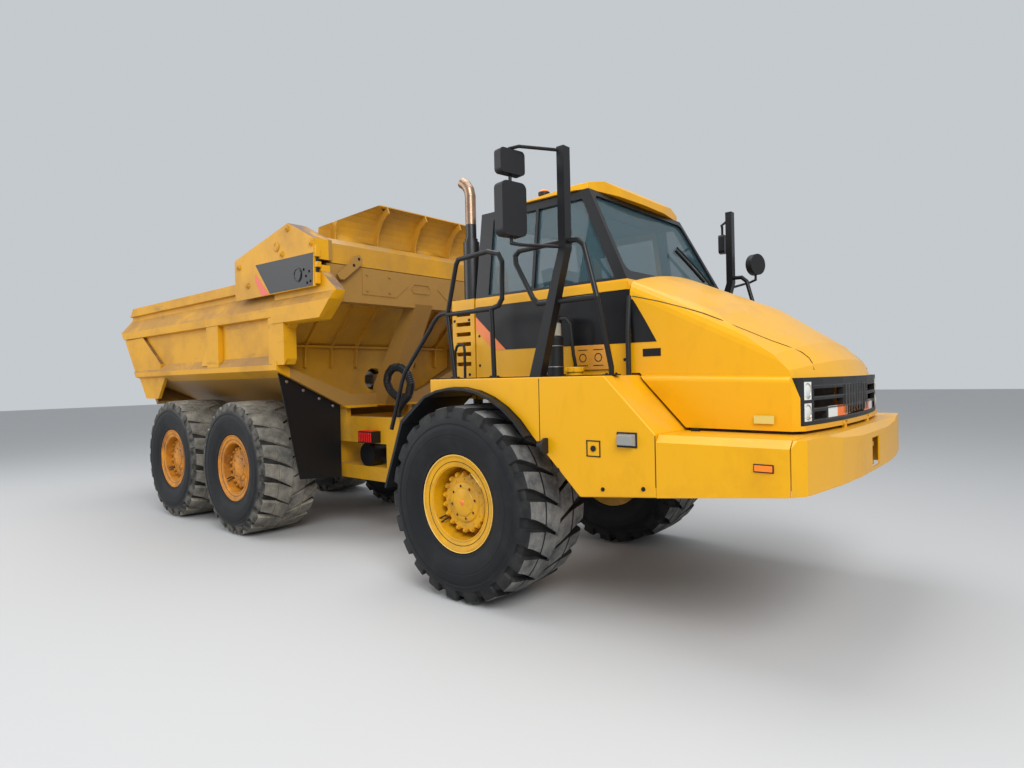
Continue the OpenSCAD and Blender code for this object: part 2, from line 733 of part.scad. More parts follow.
module hood_shell() {
    color(yellow) difference() {
        hood_form(0);
        hood_form(hood_wall);
        translate([0, 0, -hood_wall]) block([hood_x0 - 1, -850, 1300], [hood_front - 200, 850, 1500]);
        // Opening for the grille and the lamps, and notches over the hinge pins
        block([hood_front - 200, -grille_y, grille_z0], [nose_x, grille_y, grille_z1]);
        pair() block([hood_front - 60, 290, hood_z0 - 1], [nose_x, 405, hood_pin_z + 14]);
    }
    // Hinge eyes
    color(yellow) pair() difference() {
        union() {
            rod_y(hood_pin_x, hood_pin_z, 15, 351, 391);
            block([hood_pin_x - 12, 351, hood_pin_z], [hood_pin_x + 4, 391, hood_pin_z + 18]);
        }
        rod_y(hood_pin_x, hood_pin_z, hood_pin_r + fit, 350, 392);
    }
}

// Grille: a curved panel of four ridges with slots between them, a centre box, and pockets that
// are cut part of the way in for the lamps
grille_z0 = 1455;
grille_z1 = 1745;
grille_y = 1000;
grille_r0 = 10;
grille_r1 = 40;
ridge_top = [for (i = [0 : 3]) 1487 + i * 71];
ridge_h = 24;
lens_front = 12;
lamp_back = 28;
head_lamp = [863, 963]; // |y| of its edges
head_z = [1480, 1590];
turn_lamp = [235, 620];
turn_z = [ridge_top[0], ridge_top[1]];
lens_split = 450;
module grille_band(z0, z1, d0, d1) {
    translate([0, 0, z0]) linear_extrude(z1 - z0) intersection() {
        difference() {
            hood_plan(d0);
            hood_plan(d1);
        }
        translate([hood_front - 200, fit - grille_y]) square([300, 2 * (grille_y - fit)]);
    }
}
module grille_slot(i, y0, y1) {
    block([hood_front - 160, y0, ridge_top[i]], [nose_x, y1, ridge_top[i + 1] - ridge_h]);
}
module grille() {
    z0 = grille_z0 + fit;
    z1 = grille_z1 - fit;
    color(black) difference() {
        union() {
            grille_band(z0, z1, grille_r0, grille_r1);
            block([hood_front - 60, -330, ridge_top[1] + 20], [hood_front - 12, 330, ridge_top[3] - 4]);
        }
        pair() {
            grille_slot(0, turn_lamp[1] + 30, head_lamp[0] - 30);
            for (i = [1, 2]) grille_slot(i, 350, head_lamp[0] - 30);
            lamp_pocket(head_lamp, head_z, -fit, -10, lamp_back);
            lamp_pocket(head_lamp, head_z + [130, 130], -fit, -10, lamp_back);
            lamp_pocket(turn_lamp, turn_z, -fit, -10, lamp_back);
        }
        grille_slot(0, 30 - turn_lamp[0], turn_lamp[0] - 30);
    }
}
module lamp_pocket(span, z, d, front, back) {
    intersection() {
        block([hood_front - 200, span[0] + d, z[0] + d], [nose_x, span[1] - d, z[1] - d]);
        grille_band(z[0] - 2, z[1] + 2, front, back);
    }
}

// Lamps: two stacked headlamps and a pair of turn lenses at each end of the grille
module lamps() {
    color("white") pair() {
        lamp_pocket(head_lamp, head_z, 0, lens_front, lamp_back - fit);
        lamp_pocket(head_lamp, head_z + [130, 130], 0, lens_front, lamp_back - fit);
        lamp_pocket([lens_split + 2, turn_lamp[1]], turn_z, 0, lens_front, lamp_back - fit);
        lamp_pocket([turn_lamp[0], lens_split - 2], turn_z, 0, lens_front, lamp_back - fit);
    }
}

// Door on the left side, hinged at its rear edge
door_gap = 6;
module cab_door() {
    color(yellow) difference() {
        intersection() {
            difference() {
                cab_form(0);
                cab_form(cab_wall - 10);
            }
            door_hole(-door_gap);
        }
        across(cab_y - 200, cab_y + 50) polygon([
            [door_x0 + 70, win_low - 200], [door_x1 - 70, win_low - 200],
            [door_x1 - 70, belt_z + 60], [door_x1 - 100, win_top - 50], [door_x0 + 70, win_top - 50]]);
    }
    // Hinge eyes on their straps
    color(yellow) for (z = [2000, 2350]) difference() {
        union() {
            translate([door_pin[0], door_pin[1], z]) cylinder(r = 17, h = 60);
            block([door_pin[0], door_pin[1] - 14, z], [door_x0 + 60, door_pin[1] - 6, z + 60]);
            block([door_x0 + 20, cab_y - 5, z], [door_x0 + 60, door_pin[1] - 8, z + 60]);
        }
        translate([door_pin[0], door_pin[1], z - 1]) cylinder(r = door_pin_r + fit, h = 62);
    }
}
module door_window() {
    color(glassy) intersection() {
        pane_layer(20);
        across(cab_y - 200, cab_y + 50) offset(delta = -fit) polygon([
            [door_x0 + 70, win_low - 200], [door_x1 - 70, win_low - 200],
            [door_x1 - 70, belt_z + 60], [door_x1 - 100, win_top - 50], [door_x0 + 70, win_top - 50]]);
    }
}

// Hitch: steering barrel with its pin, and the oscillation tube with its two collars
roll_r = 150;
bearing_x0 = hinge_x - 630;
bearing_x1 = hinge_x - 400;
ear_x = hinge_x - 170;
ear_y = 380;
ear_t = 30;
eye_gap = 50;
module hitch() {
    color(yellow) {
        translate([hinge_x, 0, fork_low + swing_gap]) cylinder(r = 150, h = fork_top - fork_low - 2 * swing_gap);
        translate([hinge_x, 0, fork_low - plate_t]) cylinder(r = pin_r, h = fork_top - fork_low + 2 * plate_t);
        rod_x(bearing_x0 - 60, hinge_x, 0, roll_z, roll_r);
        rod_x(bearing_x1 + swing_gap, bearing_x1 + 50, 0, roll_z, 185);
        rod_x(bearing_x0 - 60, bearing_x0 - swing_gap, 0, roll_z, 185);
        for (z = [steer_z - eye_gap - ear_t, steer_z + eye_gap]) pair() translate([0, 0, z]) {
            translate([ear_x, ear_y, 0]) cylinder(r = 60, h = ear_t);
            block([ear_x - 60, 0, 0], [ear_x + 60, ear_y, ear_t]);
        }
    }
}

// Rear frame: bearing box, rails, lower beams and the brackets of the walking beams
rear_y0 = 440;
rear_y1 = 520;
rear_z0 = 1070;
rear_z1 = 1370;
beam_z = 660;
walk_y = rear_y1 + 42;
tie_x = tail_x + 1120;
tie_z = 1180;
tie_r = 30;
bogie_x = (mx + rx) / 2;
module rear_frame() {
    color(yellow) difference() {
        union() {
            block([bearing_x0, -rear_y1, 640], [bearing_x1, rear_y1, rear_z1]);
            pair() {
                block([tail_x + 1200, rear_y0, rear_z0], [bearing_x0 - fit, rear_y1, rear_z1]);
                block([body_x0 - 180 + fit, rear_y0 - 120, 640], [bearing_x0 - fit, rear_y1, 800]);
                block([tail_x + 1250, rear_y0 + 10, rear_z1 + fit], [body_x0, rear_y1 - 10, body_z0 - fit]);
                block([bogie_x - 80, rear_y0, beam_z - 90], [bogie_x + 80, rear_y1, rear_z0 - fit]);
                rod_y(bogie_x, beam_z, 60, rear_y1, walk_y - fit);
            }
            block([body_x0 - 240, -rear_y1, 640], [body_x0 - 180, rear_y1, rear_z0 - fit]);
            block([body_x0 - 240, fit - rear_y0, rear_z0 - 1], [body_x0 - 180, rear_y0 - fit, rear_z1]);
            for (x = [bogie_x - 40, tail_x + 1200])
                block([x, fit - rear_y0, rear_z0 + 20], [x + 80, rear_y0 - fit, rear_z1 - 20]);
            // Tie-down lugs behind the last cross member
            pair() block([tie_x - 50, 200, tie_z - 60], [tail_x + 1200, 230, tie_z + 60]);
        }
        rod_x(bearing_x0 - 1, bearing_x1 + 1, 0, roll_z, roll_r + pin_fit);
        pair() rod_y(tie_x, tie_z, tie_r, 199, 231);
    }
}

module rear_axles() {
    for (x = [mx, rx]) axle(x);
}

// Air tank between the rails and the lower beams, and the valve box on the near rail
module frame_gear() {
    r = (rear_z0 - 800) / 2 - fit;
    color(black) rod_y(body_x0 + 400, 800 + fit + r, r, -rear_y1, rear_y1);
    color("red") block([body_x0 + 400, -rear_y1 - 120, 1085], [body_x0 + 660, -rear_y1 - fit, 1215]);
}

// Walking beams between the two rear axles
walk_top = axle_z - 130 - fit;
module walking_beams() {
    color(yellow) pair() {
        across(walk_y, walk_y + 70) polygon([
            [rx - 110, walk_top], [rx - 110, axle_z - 210], [bogie_x - 150, beam_z - 110],
            [bogie_x + 150, beam_z - 110], [mx + 110, axle_z - 210], [mx + 110, walk_top],
            [mx - 110, walk_top], [bogie_x + 120, beam_z + 90], [bogie_x - 120, beam_z + 90],
            [rx + 110, walk_top]]);
    }
}

// Load body: one cross section along its length, cut by the slope of its tail
body_x0 = mx + 940;
cap_h = 115;
shelf_z = [2505, 2600, 2780]; // lower edge, upper edge and root of the shelf under the cap rail
gate_foot = [tail_x + 800, 1600];
gate_lip = [tail_x, 2620];
chine_y = 555;
ledge_z = 1925;
gate_pin = [gate_foot[0] + 140, 1480];
gate_pin_r = 20;
gate_lugs = [420];
function body_section() = [
    [-cap_y + wall, rail_z], [-cap_y, rail_z], [-cap_y, rail_z - cap_h], [-cap_y + 45, rail_z - cap_h - 10],
    [-cap_y + 45, shelf_z[2]], [-body_y, shelf_z[1]], [-body_y, shelf_z[0]], [-cap_y + 15, shelf_z[0] - 10], [-cap_y + 15, 2085], [-body_y, 1985], [-body_y, ledge_z], [-chine_y, body_z0],
    [chine_y, body_z0], [body_y, ledge_z], [body_y, 1985], [cap_y - 15, 2085], [cap_y - 15, shelf_z[0] - 10],
    [body_y, shelf_z[0]], [body_y, shelf_z[1]], [cap_y - 45, shelf_z[2]], [cap_y - 45, rail_z - cap_h - 10],
    [cap_y, rail_z - cap_h], [cap_y, rail_z], [cap_y - wall, rail_z]
];
function cavity(d, top) = [
    [-cap_y + wall + d, top], [-cap_y + wall + d, ledge_z + 20 + d],
    [-chine_y + 20, body_z0 + floor_t + d], [chine_y - 20, body_z0 + floor_t + d],
    [cap_y - wall - d, ledge_z + 20 + d], [cap_y - wall - d, top]
];
function gate_dir() = unit(gate_lip - gate_foot);
function gate_at(s) = gate_foot + gate_dir() * s;
function gate_in() = [gate_dir()[1], -gate_dir()[0]];
function gate_profile(d) = let (a = gate_foot - gate_dir() * (110 + d), b = gate_lip + gate_dir() * d,
        n = gate_in()) [a - n * d, b - n * d, b + n * (gate_t + d), a + n * (gate_t + d)];
module load_body() {
    color(yellow) difference() {
        union() {
            intersection() {
                along(tail_x, body_x0) polygon(body_section());
                across(-1600, 1600) polygon([
                    [body_x0, 1400], [body_x0, 3000], [tail_x + 420, 3000], gate_lip, gate_foot,
                    [gate_foot[0] + 148, body_z0], [gate_foot[0] + 148, 1400]]);
            }
            // A boxed rib, half of the front post, a slanted tail plate and a tail cheek on each side
            pair() for (x = [[body_x0 - 1600, body_x0 - 1290], [body_x0 - 80, body_x0]]) along(x[0], x[1])
                polygon([[cap_y - 20, 2060], [body_y - 8, 1980], [body_y - 8, shelf_z[0] + 10],
                    [cap_y - 20, shelf_z[0] + 10]]);
            pair() across(cap_y - 20, body_y - 20) polygon([
                gate_at(1130), [rx - 1050, shelf_z[0] - 5], [rx - 420, 2095], [rx - 420, 1980], gate_at(490)]);
            pair() across(cap_y - 40, cap_y) polygon([
                gate_at(700), gate_at(0) + [20, 0], [gate_foot[0] + 460, gate_foot[1]],
                [gate_foot[0] + 760, ledge_z + 20], [gate_foot[0] + 500, ledge_z + 60]]);
        }
        along(tail_x - 1, body_x0 + 1) polygon(cavity(0, rail_z + 1));
        across(-cap_y + wall, cap_y - wall) polygon(gate_profile(swing_gap));
        across(-cap_y + wall, cap_y - wall) polygon([
            [gate_foot[0] + 148, 1400], [gate_foot[0] + 148, body_z0 + floor_t + 1],
            [gate_foot[0] + 280, body_z0 + floor_t + 1], [gate_foot[0] + 280, 1400]]);
        // Slots for the arms of the tailgate
        pair() for (y = gate_lugs) across(y - 34, y + 34) polygon([
            gate_pin + [60, -60], gate_pin + [60, 45], gate_foot + [60, 60], gate_foot + [-200, 60],
            gate_foot + [-200, -200]]);
    }
    // Lugs and pins that carry the tailgate
    color(yellow) pair() for (y = gate_lugs) {
        for (dy = [-65, 35]) across(y + dy, y + dy + 30) polygon([
            [gate_pin[0] - 38, gate_pin[1] - 30], [gate_pin[0] + 150, gate_pin[1] - 30],
            [gate_pin[0] + 150, body_z0 + 10], [gate_pin[0] - 38, body_z0 + 20]]);
        rod_y(gate_pin[0], gate_pin[1], gate_pin_r, y - 40, y + 40);
    }
}

// Head frame: chamfered lower beam, leaning centre strut, cross beam and the two side arms
beam_x0 = body_x0 + 670;
beam_x1 = body_x0 + 850;
beam_z0 = 2620;
beam_z1 = 3000;
arm_y0 = cap_y - wall;
arm_tip = body_x0 + 1120;
module head_frame() {
    color(yellow) {
        along(body_x0 + fit, body_x0 + 90) polygon([
            [-body_y, ledge_z], [-chine_y, body_z0], [chine_y, body_z0], [body_y, ledge_z],
            [body_y, ledge_z + 90], [chine_y - 40, body_z0 + 170], [-chine_y + 40, body_z0 + 170],
            [-body_y, ledge_z + 90]]);
        across(-128, 128) polygon([
            [body_x0 + 20, body_z0 + 20], [body_x0 + 250, body_z0 + 20], [beam_x1 + 20, beam_z0 + 40],
            [beam_x0, beam_z0 + 40], [body_x0 + 20, body_z0 + 250]]);
        difference() {
            block([beam_x0, -arm_y0, beam_z0], [beam_x1, arm_y0, beam_z1]);
            block([beam_x0 + 15, -arm_y0 - 1, beam_z0 + 15], [beam_x1 - 15, arm_y0 + 1, beam_z1 - 15]);
        }
        pair() across(arm_y0, cap_y) polygon([
            [body_x0 + fit, ledge_z + 60], [body_x0 + 200, ledge_z + 60], [body_x0 + 240, ledge_z + 120],
            [body_x0 + 240, 2370], [body_x0 + 290, 2420], [body_x0 + 900, 2420], [arm_tip, 2600],
            [arm_tip + 40, 2690], [beam_x1 + 60, 2900], [beam_x1 + 60, rail_z], [body_x0 + fit, rail_z]]);
        // The shelf and the front post carry on over the arms
        pair() difference() {
            along(body_x0 + fit, arm_tip + 20) polygon([
                [cap_y - 1, 2420], [body_y, 2430], [body_y, shelf_z[1]], [cap_y - 1, 2690]]);
            across(cap_y - 2, body_y + 1) polygon([
                [body_x0 + 900, 2400], [arm_tip + 60, 2400], [arm_tip + 60, 2720], [arm_tip + 20, 2660],
                [arm_tip, 2600]]);
        }
        pair() along(body_x0 + fit, body_x0 + 240) polygon([
            [cap_y - 1, 2050], [body_y - 8, 1980], [body_y - 8, 2440], [cap_y - 1, 2440]]);
    }
}

function chine_z(y) = body_z0 + (y - chine_y) * (ledge_z - body_z0) / (body_y - chine_y);

// Black mudguards ahead of the middle wheels
module mudguards() {
    y0 = wheel_y - tyre_w / 2 - 145;
    y1 = body_y - 50;
    color(black) pair() along(body_x0 + 20, body_x0 + 32) polygon([
        [-y1, chine_z(y1) - 1.2 * fit], [-y0, chine_z(y0) - 1.2 * fit], [-y0, axle_z - 130], [-wheel_y - 25, axle_z - 90]]);
}

// Wrapped hose loop between the rear frame and the head frame
module hose() {
    x = hinge_x - 560;
    color(black) pipe([
        [x, -400, rear_z1 + fit], [x, -400, 1430], [x + 20, -400, 1470], [x + 90, -400, 1540], [x + 200, -405, 1620],
        [x + 260, -420, 1740], [x + 230, -440, 1860], [x + 130, -460, 1930], [x + 20, -470, 1930],
        [x - 70, -470, 1860], [x - 110, -460, 1770], [x - 100, -430, 1680], [x - 60, -380, 1610],
        [x - 60, -300, 1590], [x - 60, -220, 1590]], 38);
}

// Ejector cylinder: a fixed rod, two stages and the barrel in the blade's nose
eject_z = 1810;
stage_x0 = body_x0 - 230;
stage_l = 1290;
barrel_end = stage_x0 - stage_l - 34;
module stage(x0, r0, r1) {
    color(steel) difference() {
        rod_x(x0 - stage_l, x0, 0, eject_z, r1);
        rod_x(x0 - stage_l - 1, x0 + 1, 0, eject_z, r0);
    }
}
module ejector_rod() {
    color(steel) {
        rod_x(stage_x0 - 1270, body_x0 - 20, 0, eject_z, 60);
        across(-60, 60) polygon([
            [body_x0 - 60, eject_z - 60], [body_x0 + 40 - fit, eject_z - 60],
            [body_x0 + 123 - fit, eject_z + 60], [body_x0 - 60, eject_z + 60]]);
    }
}
module ejector_stage_a() { stage(stage_x0 - 20, 61, 80); }
module ejector_stage_b() { stage(stage_x0 - 10, 81, 100); }
module ejector_barrel() {
    color(steel) difference() {
        rod_x(barrel_end, stage_x0, 0, eject_z, 124);
        rod_x(barrel_end + 12, stage_x0 + 1, 0, eject_z, 101);
    }
}

// Blade: a plate that leans forward, its nose, its top beam and the curved shield with its ribs
blade_gap = 12;
blade_end = 1251 - fit;
shield_c = [body_x0 + 1080, 3290];
shield_r = 440;
function shield_line(r) = arc(shield_c, r, 186, 112, 8);
module ejector_blade() {
    color(yellow) difference() {
        union() {
            intersection() {
                along(body_x0 - 1000, body_x0 + 900) polygon(cavity(blade_gap, rail_z + 140));
                across(-1300, 1300) polygon([
                    [body_x0 - 220, 1500], [body_x0 - 150, 1500], [body_x0 - 110, 2200],
                    [beam_x0 - 130, 2840], [beam_x0 - 45, 3015], [beam_x0 - 135, 3015],
                    [beam_x0 - 220, 2860], [body_x0 - 200, 2230]]);
            }
            across(-blade_end, blade_end) polygon([
                [beam_x0 - 120, 3008], [beam_x1, 3008], [beam_x1, 3210], [beam_x1 - 60, 3270],
                [beam_x0 - 120, 3270]]);
            // Stiffeners on the front face
            for (y = [-1000, -650, -300, 300, 650, 1000]) across(y - 10, y + 10) polygon([
                [body_x0 - 160, 1950], [body_x0 - 70, 1960], [body_x0 - 50, 2200], [beam_x0 - 75, 2830],
                [beam_x0 - 140, 2850], [body_x0 - 120, 2200]]);
            across(-1150, 1150) polygon([
                [body_x0 - 130, 2190], [body_x0 - 55, 2190], [body_x0 - 45, 2215], [body_x0 - 120, 2215]]);
            intersection() {
                along(body_x0 + 440, body_x0 + 1140) polygon([
                    [-1250, 3250], [-1250, 3400], [-600, 3720], [600, 3720], [1250, 3400], [1250, 3250]]);
                union() {
                    across(-1250, 1250) polygon(concat(shield_line(shield_r), [for (i = [8 : -1 : 0]) shield_line(shield_r - 14)[i]]));
                    for (y = [-1100 : 550 : 1100]) across(y - 8, y + 8) polygon(concat(
                        shield_line(shield_r - 5), [for (i = [8 : -1 : 0]) shield_line(shield_r - 90)[i]]));
                }
            }
            difference() {
                across(-200, 200) polygon([
                    [body_x0 - 160, 1640], [body_x0 - 160, 2150], [body_x0 - 1540, 1990],
                    [body_x0 - 1620, 1940], [body_x0 - 1620, 1640]]);
                across(-170, 170) polygon([
                    [body_x0 - 100, 1600], [body_x0 - 100, 2110], [body_x0 - 1520, 1960],
                    [body_x0 - 1590, 1920], [body_x0 - 1590, 1600]]);
            }
            // Pad behind the barrel
            block([body_x0 - 1591, -100, eject_z - 100], [barrel_end - fit, 100, eject_z + 100]);
        }
        rod_x(body_x0 - 240, body_x0, 0, eject_z, 140);
    }
}

// Carriages of the blade: boxes over the cap rails with rollers on the rails
module carriages() {
    function plate(d) = [
        [body_x0 - 760 + d, 2745], [body_x0 - 760 + d, 3210 - d], [body_x0 + 420, 3450 - d],
        [body_x0 + 890 - d, 3225 - d], [body_x0 + 890 - d, 2745]];
    color(yellow) pair() {
        difference() {
            across(1251, carriage_y) polygon(plate(0));
            across(1275, carriage_y - 22) polygon(plate(22));
            block([body_x0 - 860, 1200, 2700], [body_x0 + 940, carriage_y - 22, rail_z + 60]);
            block([body_x0 - 860, 1200, 2700], [body_x0 + 640, 1300, rail_z + 60]);
        }
        for (x = [body_x0 - 610, body_x0 + 690]) rod_y(x, rail_z + 70 + fit, 70, 1295, carriage_y - 22);
        // Bosses on the outer plates
        for (p = [[408, 3390], [852, 3175], [295, 3140], [-655, 3120], [-456, 2890]])
            rod_y(body_x0 + p[0], p[1], 32, carriage_y - 1, carriage_y + 14);
    }
}

// Tailgate between the cheeks, hinged under the floor's end
module tailgate() {
    color(yellow) {
        across(-cap_y + wall + blade_gap, cap_y - wall - blade_gap) polygon(gate_profile(0));
        pair() for (y = gate_lugs) difference() {
            across(y - 28, y + 28) polygon([
                gate_pin + [-34, -34], gate_pin + [34, -34], gate_pin + [34, 34],
                gate_foot + [40, 20], gate_foot + [-10, -30]]);
            rod_y(gate_pin[0], gate_pin[1], gate_pin_r + fit, y - 29, y + 29);
        }
    }
}

// Steering cylinders: the barrel's eye is on the front frame and the rod's eye is at the hitch's ears
steer_z = roll_z + 10;
steer_a = [fx - 450, 420];
steer_b = [ear_x, ear_y];
steer_len = norm(steer_b - steer_a);
steer_angle = atan2(steer_b[1] - steer_a[1], steer_b[0] - steer_a[0]);
module steer_frame(side) {
    mirror([0, side < 0 ? 1 : 0, 0]) translate([steer_a[0], steer_a[1], steer_z]) rotate([0, 0, steer_angle])
        children();
}
module steer_barrel(side) {
    color(black) steer_frame(side) difference() {
        union() {
            translate([0, 0, -40]) cylinder(r = 50, h = 80);
            rotate([0, 90, 0]) cylinder(r = 36, h = 75);
            translate([70, 0, 0]) rotate([0, 90, 0]) cylinder(r = 62, h = 670);
        }
        translate([90, 0, 0]) rotate([0, 90, 0]) cylinder(r = 37, h = 700);
        translate([0, 0, -80]) cylinder(r = 25 + pin_fit, h = 160);
    }
}
module steer_rod(side) {
    color(steel) steer_frame(side) {
        translate([steer_len - 750, 0, 0]) rotate([0, 90, 0]) cylinder(r = 36, h = 750);
        translate([steer_len, 0, -40]) cylinder(r = 50, h = 80);
    }
}

front_frame();
front_fork();
engine();
front_axle();
fender_right();
fender_left();
arch_flares();
bumper();
cab_shell();
cab_frame();
cab_roof();
cab_windows();
seat();
dash();
exhaust();
cowl();
handrails();
mirror_posts();
mirrors();
hood_shell();
grille();
lamps();
cab_door();
door_window();
hitch();
rear_frame();
frame_gear();
rear_axles();
walking_beams();
load_body();
head_frame();
mudguards();
hose();
ejector_rod();
ejector_stage_a();
ejector_stage_b();
ejector_barrel();
ejector_blade();
carriages();
tailgate();
steer_barrel(-1);  // steer_barrel_right
steer_rod(-1);  // steer_rod_right
steer_barrel(1);  // steer_barrel_left
steer_rod(1);  // steer_rod_left
wheel_place(fx, -1) tyre();  // tyre_front_right
wheel_place(fx, -1) rim(yellow);  // rim_front_right
wheel_place(fx, 1) tyre();  // tyre_front_left
wheel_place(fx, 1) rim(yellow);  // rim_front_left
wheel_place(mx, -1) tyre();  // tyre_mid_right
wheel_place(mx, -1) rim(rust);  // rim_mid_right
wheel_place(mx, 1) tyre();  // tyre_mid_left
wheel_place(mx, 1) rim(rust);  // rim_mid_left
wheel_place(rx, -1) tyre();  // tyre_rear_right
wheel_place(rx, -1) rim(rust);  // rim_rear_right
wheel_place(rx, 1) tyre();  // tyre_rear_left
wheel_place(rx, 1) rim(rust);  // rim_rear_left
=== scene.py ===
"""Looks of the articulated ejector truck: materials, tyres, lamps, trim, the camera and the light."""
import json
import math

import bpy
from mathutils import Matrix, Vector


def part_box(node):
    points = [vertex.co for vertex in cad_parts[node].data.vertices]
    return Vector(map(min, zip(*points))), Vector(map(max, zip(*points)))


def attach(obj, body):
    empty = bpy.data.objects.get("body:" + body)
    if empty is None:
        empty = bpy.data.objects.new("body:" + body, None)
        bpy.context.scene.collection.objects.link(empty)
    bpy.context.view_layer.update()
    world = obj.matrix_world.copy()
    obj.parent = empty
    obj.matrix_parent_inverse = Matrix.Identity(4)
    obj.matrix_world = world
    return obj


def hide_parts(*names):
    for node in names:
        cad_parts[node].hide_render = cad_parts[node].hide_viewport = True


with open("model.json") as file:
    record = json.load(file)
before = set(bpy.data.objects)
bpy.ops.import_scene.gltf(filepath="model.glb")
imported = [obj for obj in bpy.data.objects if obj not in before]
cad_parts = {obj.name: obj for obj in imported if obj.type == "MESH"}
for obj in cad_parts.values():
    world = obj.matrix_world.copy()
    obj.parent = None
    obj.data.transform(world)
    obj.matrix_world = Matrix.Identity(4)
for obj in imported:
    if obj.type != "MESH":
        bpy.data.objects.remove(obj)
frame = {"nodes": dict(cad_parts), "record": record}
NODES = frame["nodes"]
SLOTS = {s["node"]: s["material_slot"] for s in frame["record"]["subparts"]}
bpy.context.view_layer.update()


def axle_x(place):
    lo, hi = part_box(f"tyre_{place}_left")
    return (lo[0] + hi[0]) / 2


# Driving dimensions in metres, read from the frame
TYRE_LO, TYRE_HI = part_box("tyre_front_left")
WHEEL_Y = (TYRE_HI[1] + TYRE_LO[1]) / 2
AXLE_Z = (TYRE_HI[2] + TYRE_LO[2]) / 2
FX = axle_x("front")
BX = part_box("load_body")[1][0]
FENDER_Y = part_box("bumper")[1][1]
DECK_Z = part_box("fender_right")[1][2]

# The cab's side, the carriage's outer plate, and the hood's rear end and taper
CAB_Y = 0.900
CARRIAGE_Y = 1.465
HOOD_X0 = FX + 1.300
HOOD_TAPER = math.tan(math.radians(3.4))

RIGHT, LEFT = -1, 1
SIDES = (RIGHT, LEFT)
# A decal's thickness, and the gap that keeps it off the paint
SKIN = 0.002
OFF = 0.0004


def from_axle(*points):
    """Points whose X is given from the front axle."""
    return [(FX + x, *rest) for x, *rest in points]


# Materials
class Recipe:
    """The nodes of one material. A value is a number, a colour or another node's output."""

    def __init__(self, name, rough, shine=0.5):
        self.mat = bpy.data.materials.new(name)
        self.mat.use_nodes = True
        self.nodes = self.mat.node_tree.nodes
        self.links = self.mat.node_tree.links
        self.shader = self.nodes["Principled BSDF"]
        self.set("Roughness", rough)
        self.set("Specular IOR Level", shine)

    def feed(self, socket, value):
        if isinstance(value, tuple):
            socket.default_value = (*value, 1)
        elif isinstance(value, (float, int)):
            socket.default_value = value
        else:
            self.links.new(value, socket)

    def set(self, name, value):
        self.feed(self.shader.inputs[name], value)

    def noise(self, scale, detail, roughness, stretch=(1, 1, 1)):
        coord = self.nodes.new("ShaderNodeTexCoord")
        mapping = self.nodes.new("ShaderNodeMapping")
        mapping.inputs["Scale"].default_value = stretch
        tex = self.nodes.new("ShaderNodeTexNoise")
        tex.inputs["Scale"].default_value = scale
        tex.inputs["Detail"].default_value = detail
        tex.inputs["Roughness"].default_value = roughness
        self.links.new(coord.outputs["Object"], mapping.inputs["Vector"])
        self.links.new(mapping.outputs["Vector"], tex.inputs["Vector"])
        return tex.outputs["Fac"]

    def ramp(self, value, low, high, colour_low=(0, 0, 0), colour_high=(1, 1, 1)):
        node = self.nodes.new("ShaderNodeValToRGB")
        for end, position, colour in ((0, low, colour_low), (1, high, colour_high)):
            node.color_ramp.elements[end].position = position
            node.color_ramp.elements[end].color = (*colour, 1)
        self.links.new(value, node.inputs["Fac"])
        return node.outputs["Color"]

    def calc(self, operation, a, b=0.0):
        node = self.nodes.new("ShaderNodeMath")
        node.operation = operation
        self.feed(node.inputs[0], a)
        self.feed(node.inputs[1], b)
        return node.outputs[0]

    def times(self, a, b):
        return self.calc("MULTIPLY", a, b)

    def mix(self, factor, a, b):
        node = self.nodes.new("ShaderNodeMix")
        node.data_type = "RGBA"
        for name, value in (("Factor", factor), ("A", a), ("B", b)):
            self.feed([s for s in node.inputs if s.name == name and s.enabled][0], value)
        return [s for s in node.outputs if s.enabled][0]

    def upward(self):
        """How far a surface faces up, from 0 to 1."""
        geo = self.nodes.new("ShaderNodeNewGeometry")
        split = self.nodes.new("ShaderNodeSeparateXYZ")
        self.links.new(geo.outputs["True Normal"], split.inputs[0])
        return self.ramp(split.outputs["Z"], 0.25, 0.75)

    def place(self, axis):
        """A point's X, Y or Z in the object's own frame."""
        coord = self.nodes.new("ShaderNodeTexCoord")
        split = self.nodes.new("ShaderNodeSeparateXYZ")
        self.links.new(coord.outputs["Object"], split.inputs[0])
        return split.outputs[axis]

    def done(self, base):
        self.set("Base Color", base)
        return self.mat


PAINT_SHINE = 0.35
FADE = 0.78
GROUND_DIRT = (0.20, 0.125, 0.045)
DUST = (0.35, 0.28, 0.18)
SCRATCH_RUST = (0.16, 0.085, 0.03)
SHELF_RUST = (0.105, 0.065, 0.055)
SCUFF_GREY = (0.20, 0.185, 0.155)
# The load space: half its width, and the height from which its metal is bare
LOAD_Y = 1.2915
LOAD_Z = 1.5
# The stack is black up to this height, and turn lenses nearer the middle than this are amber
STACK_BLACK_Z = 3.19
AMBER_Y = 0.450


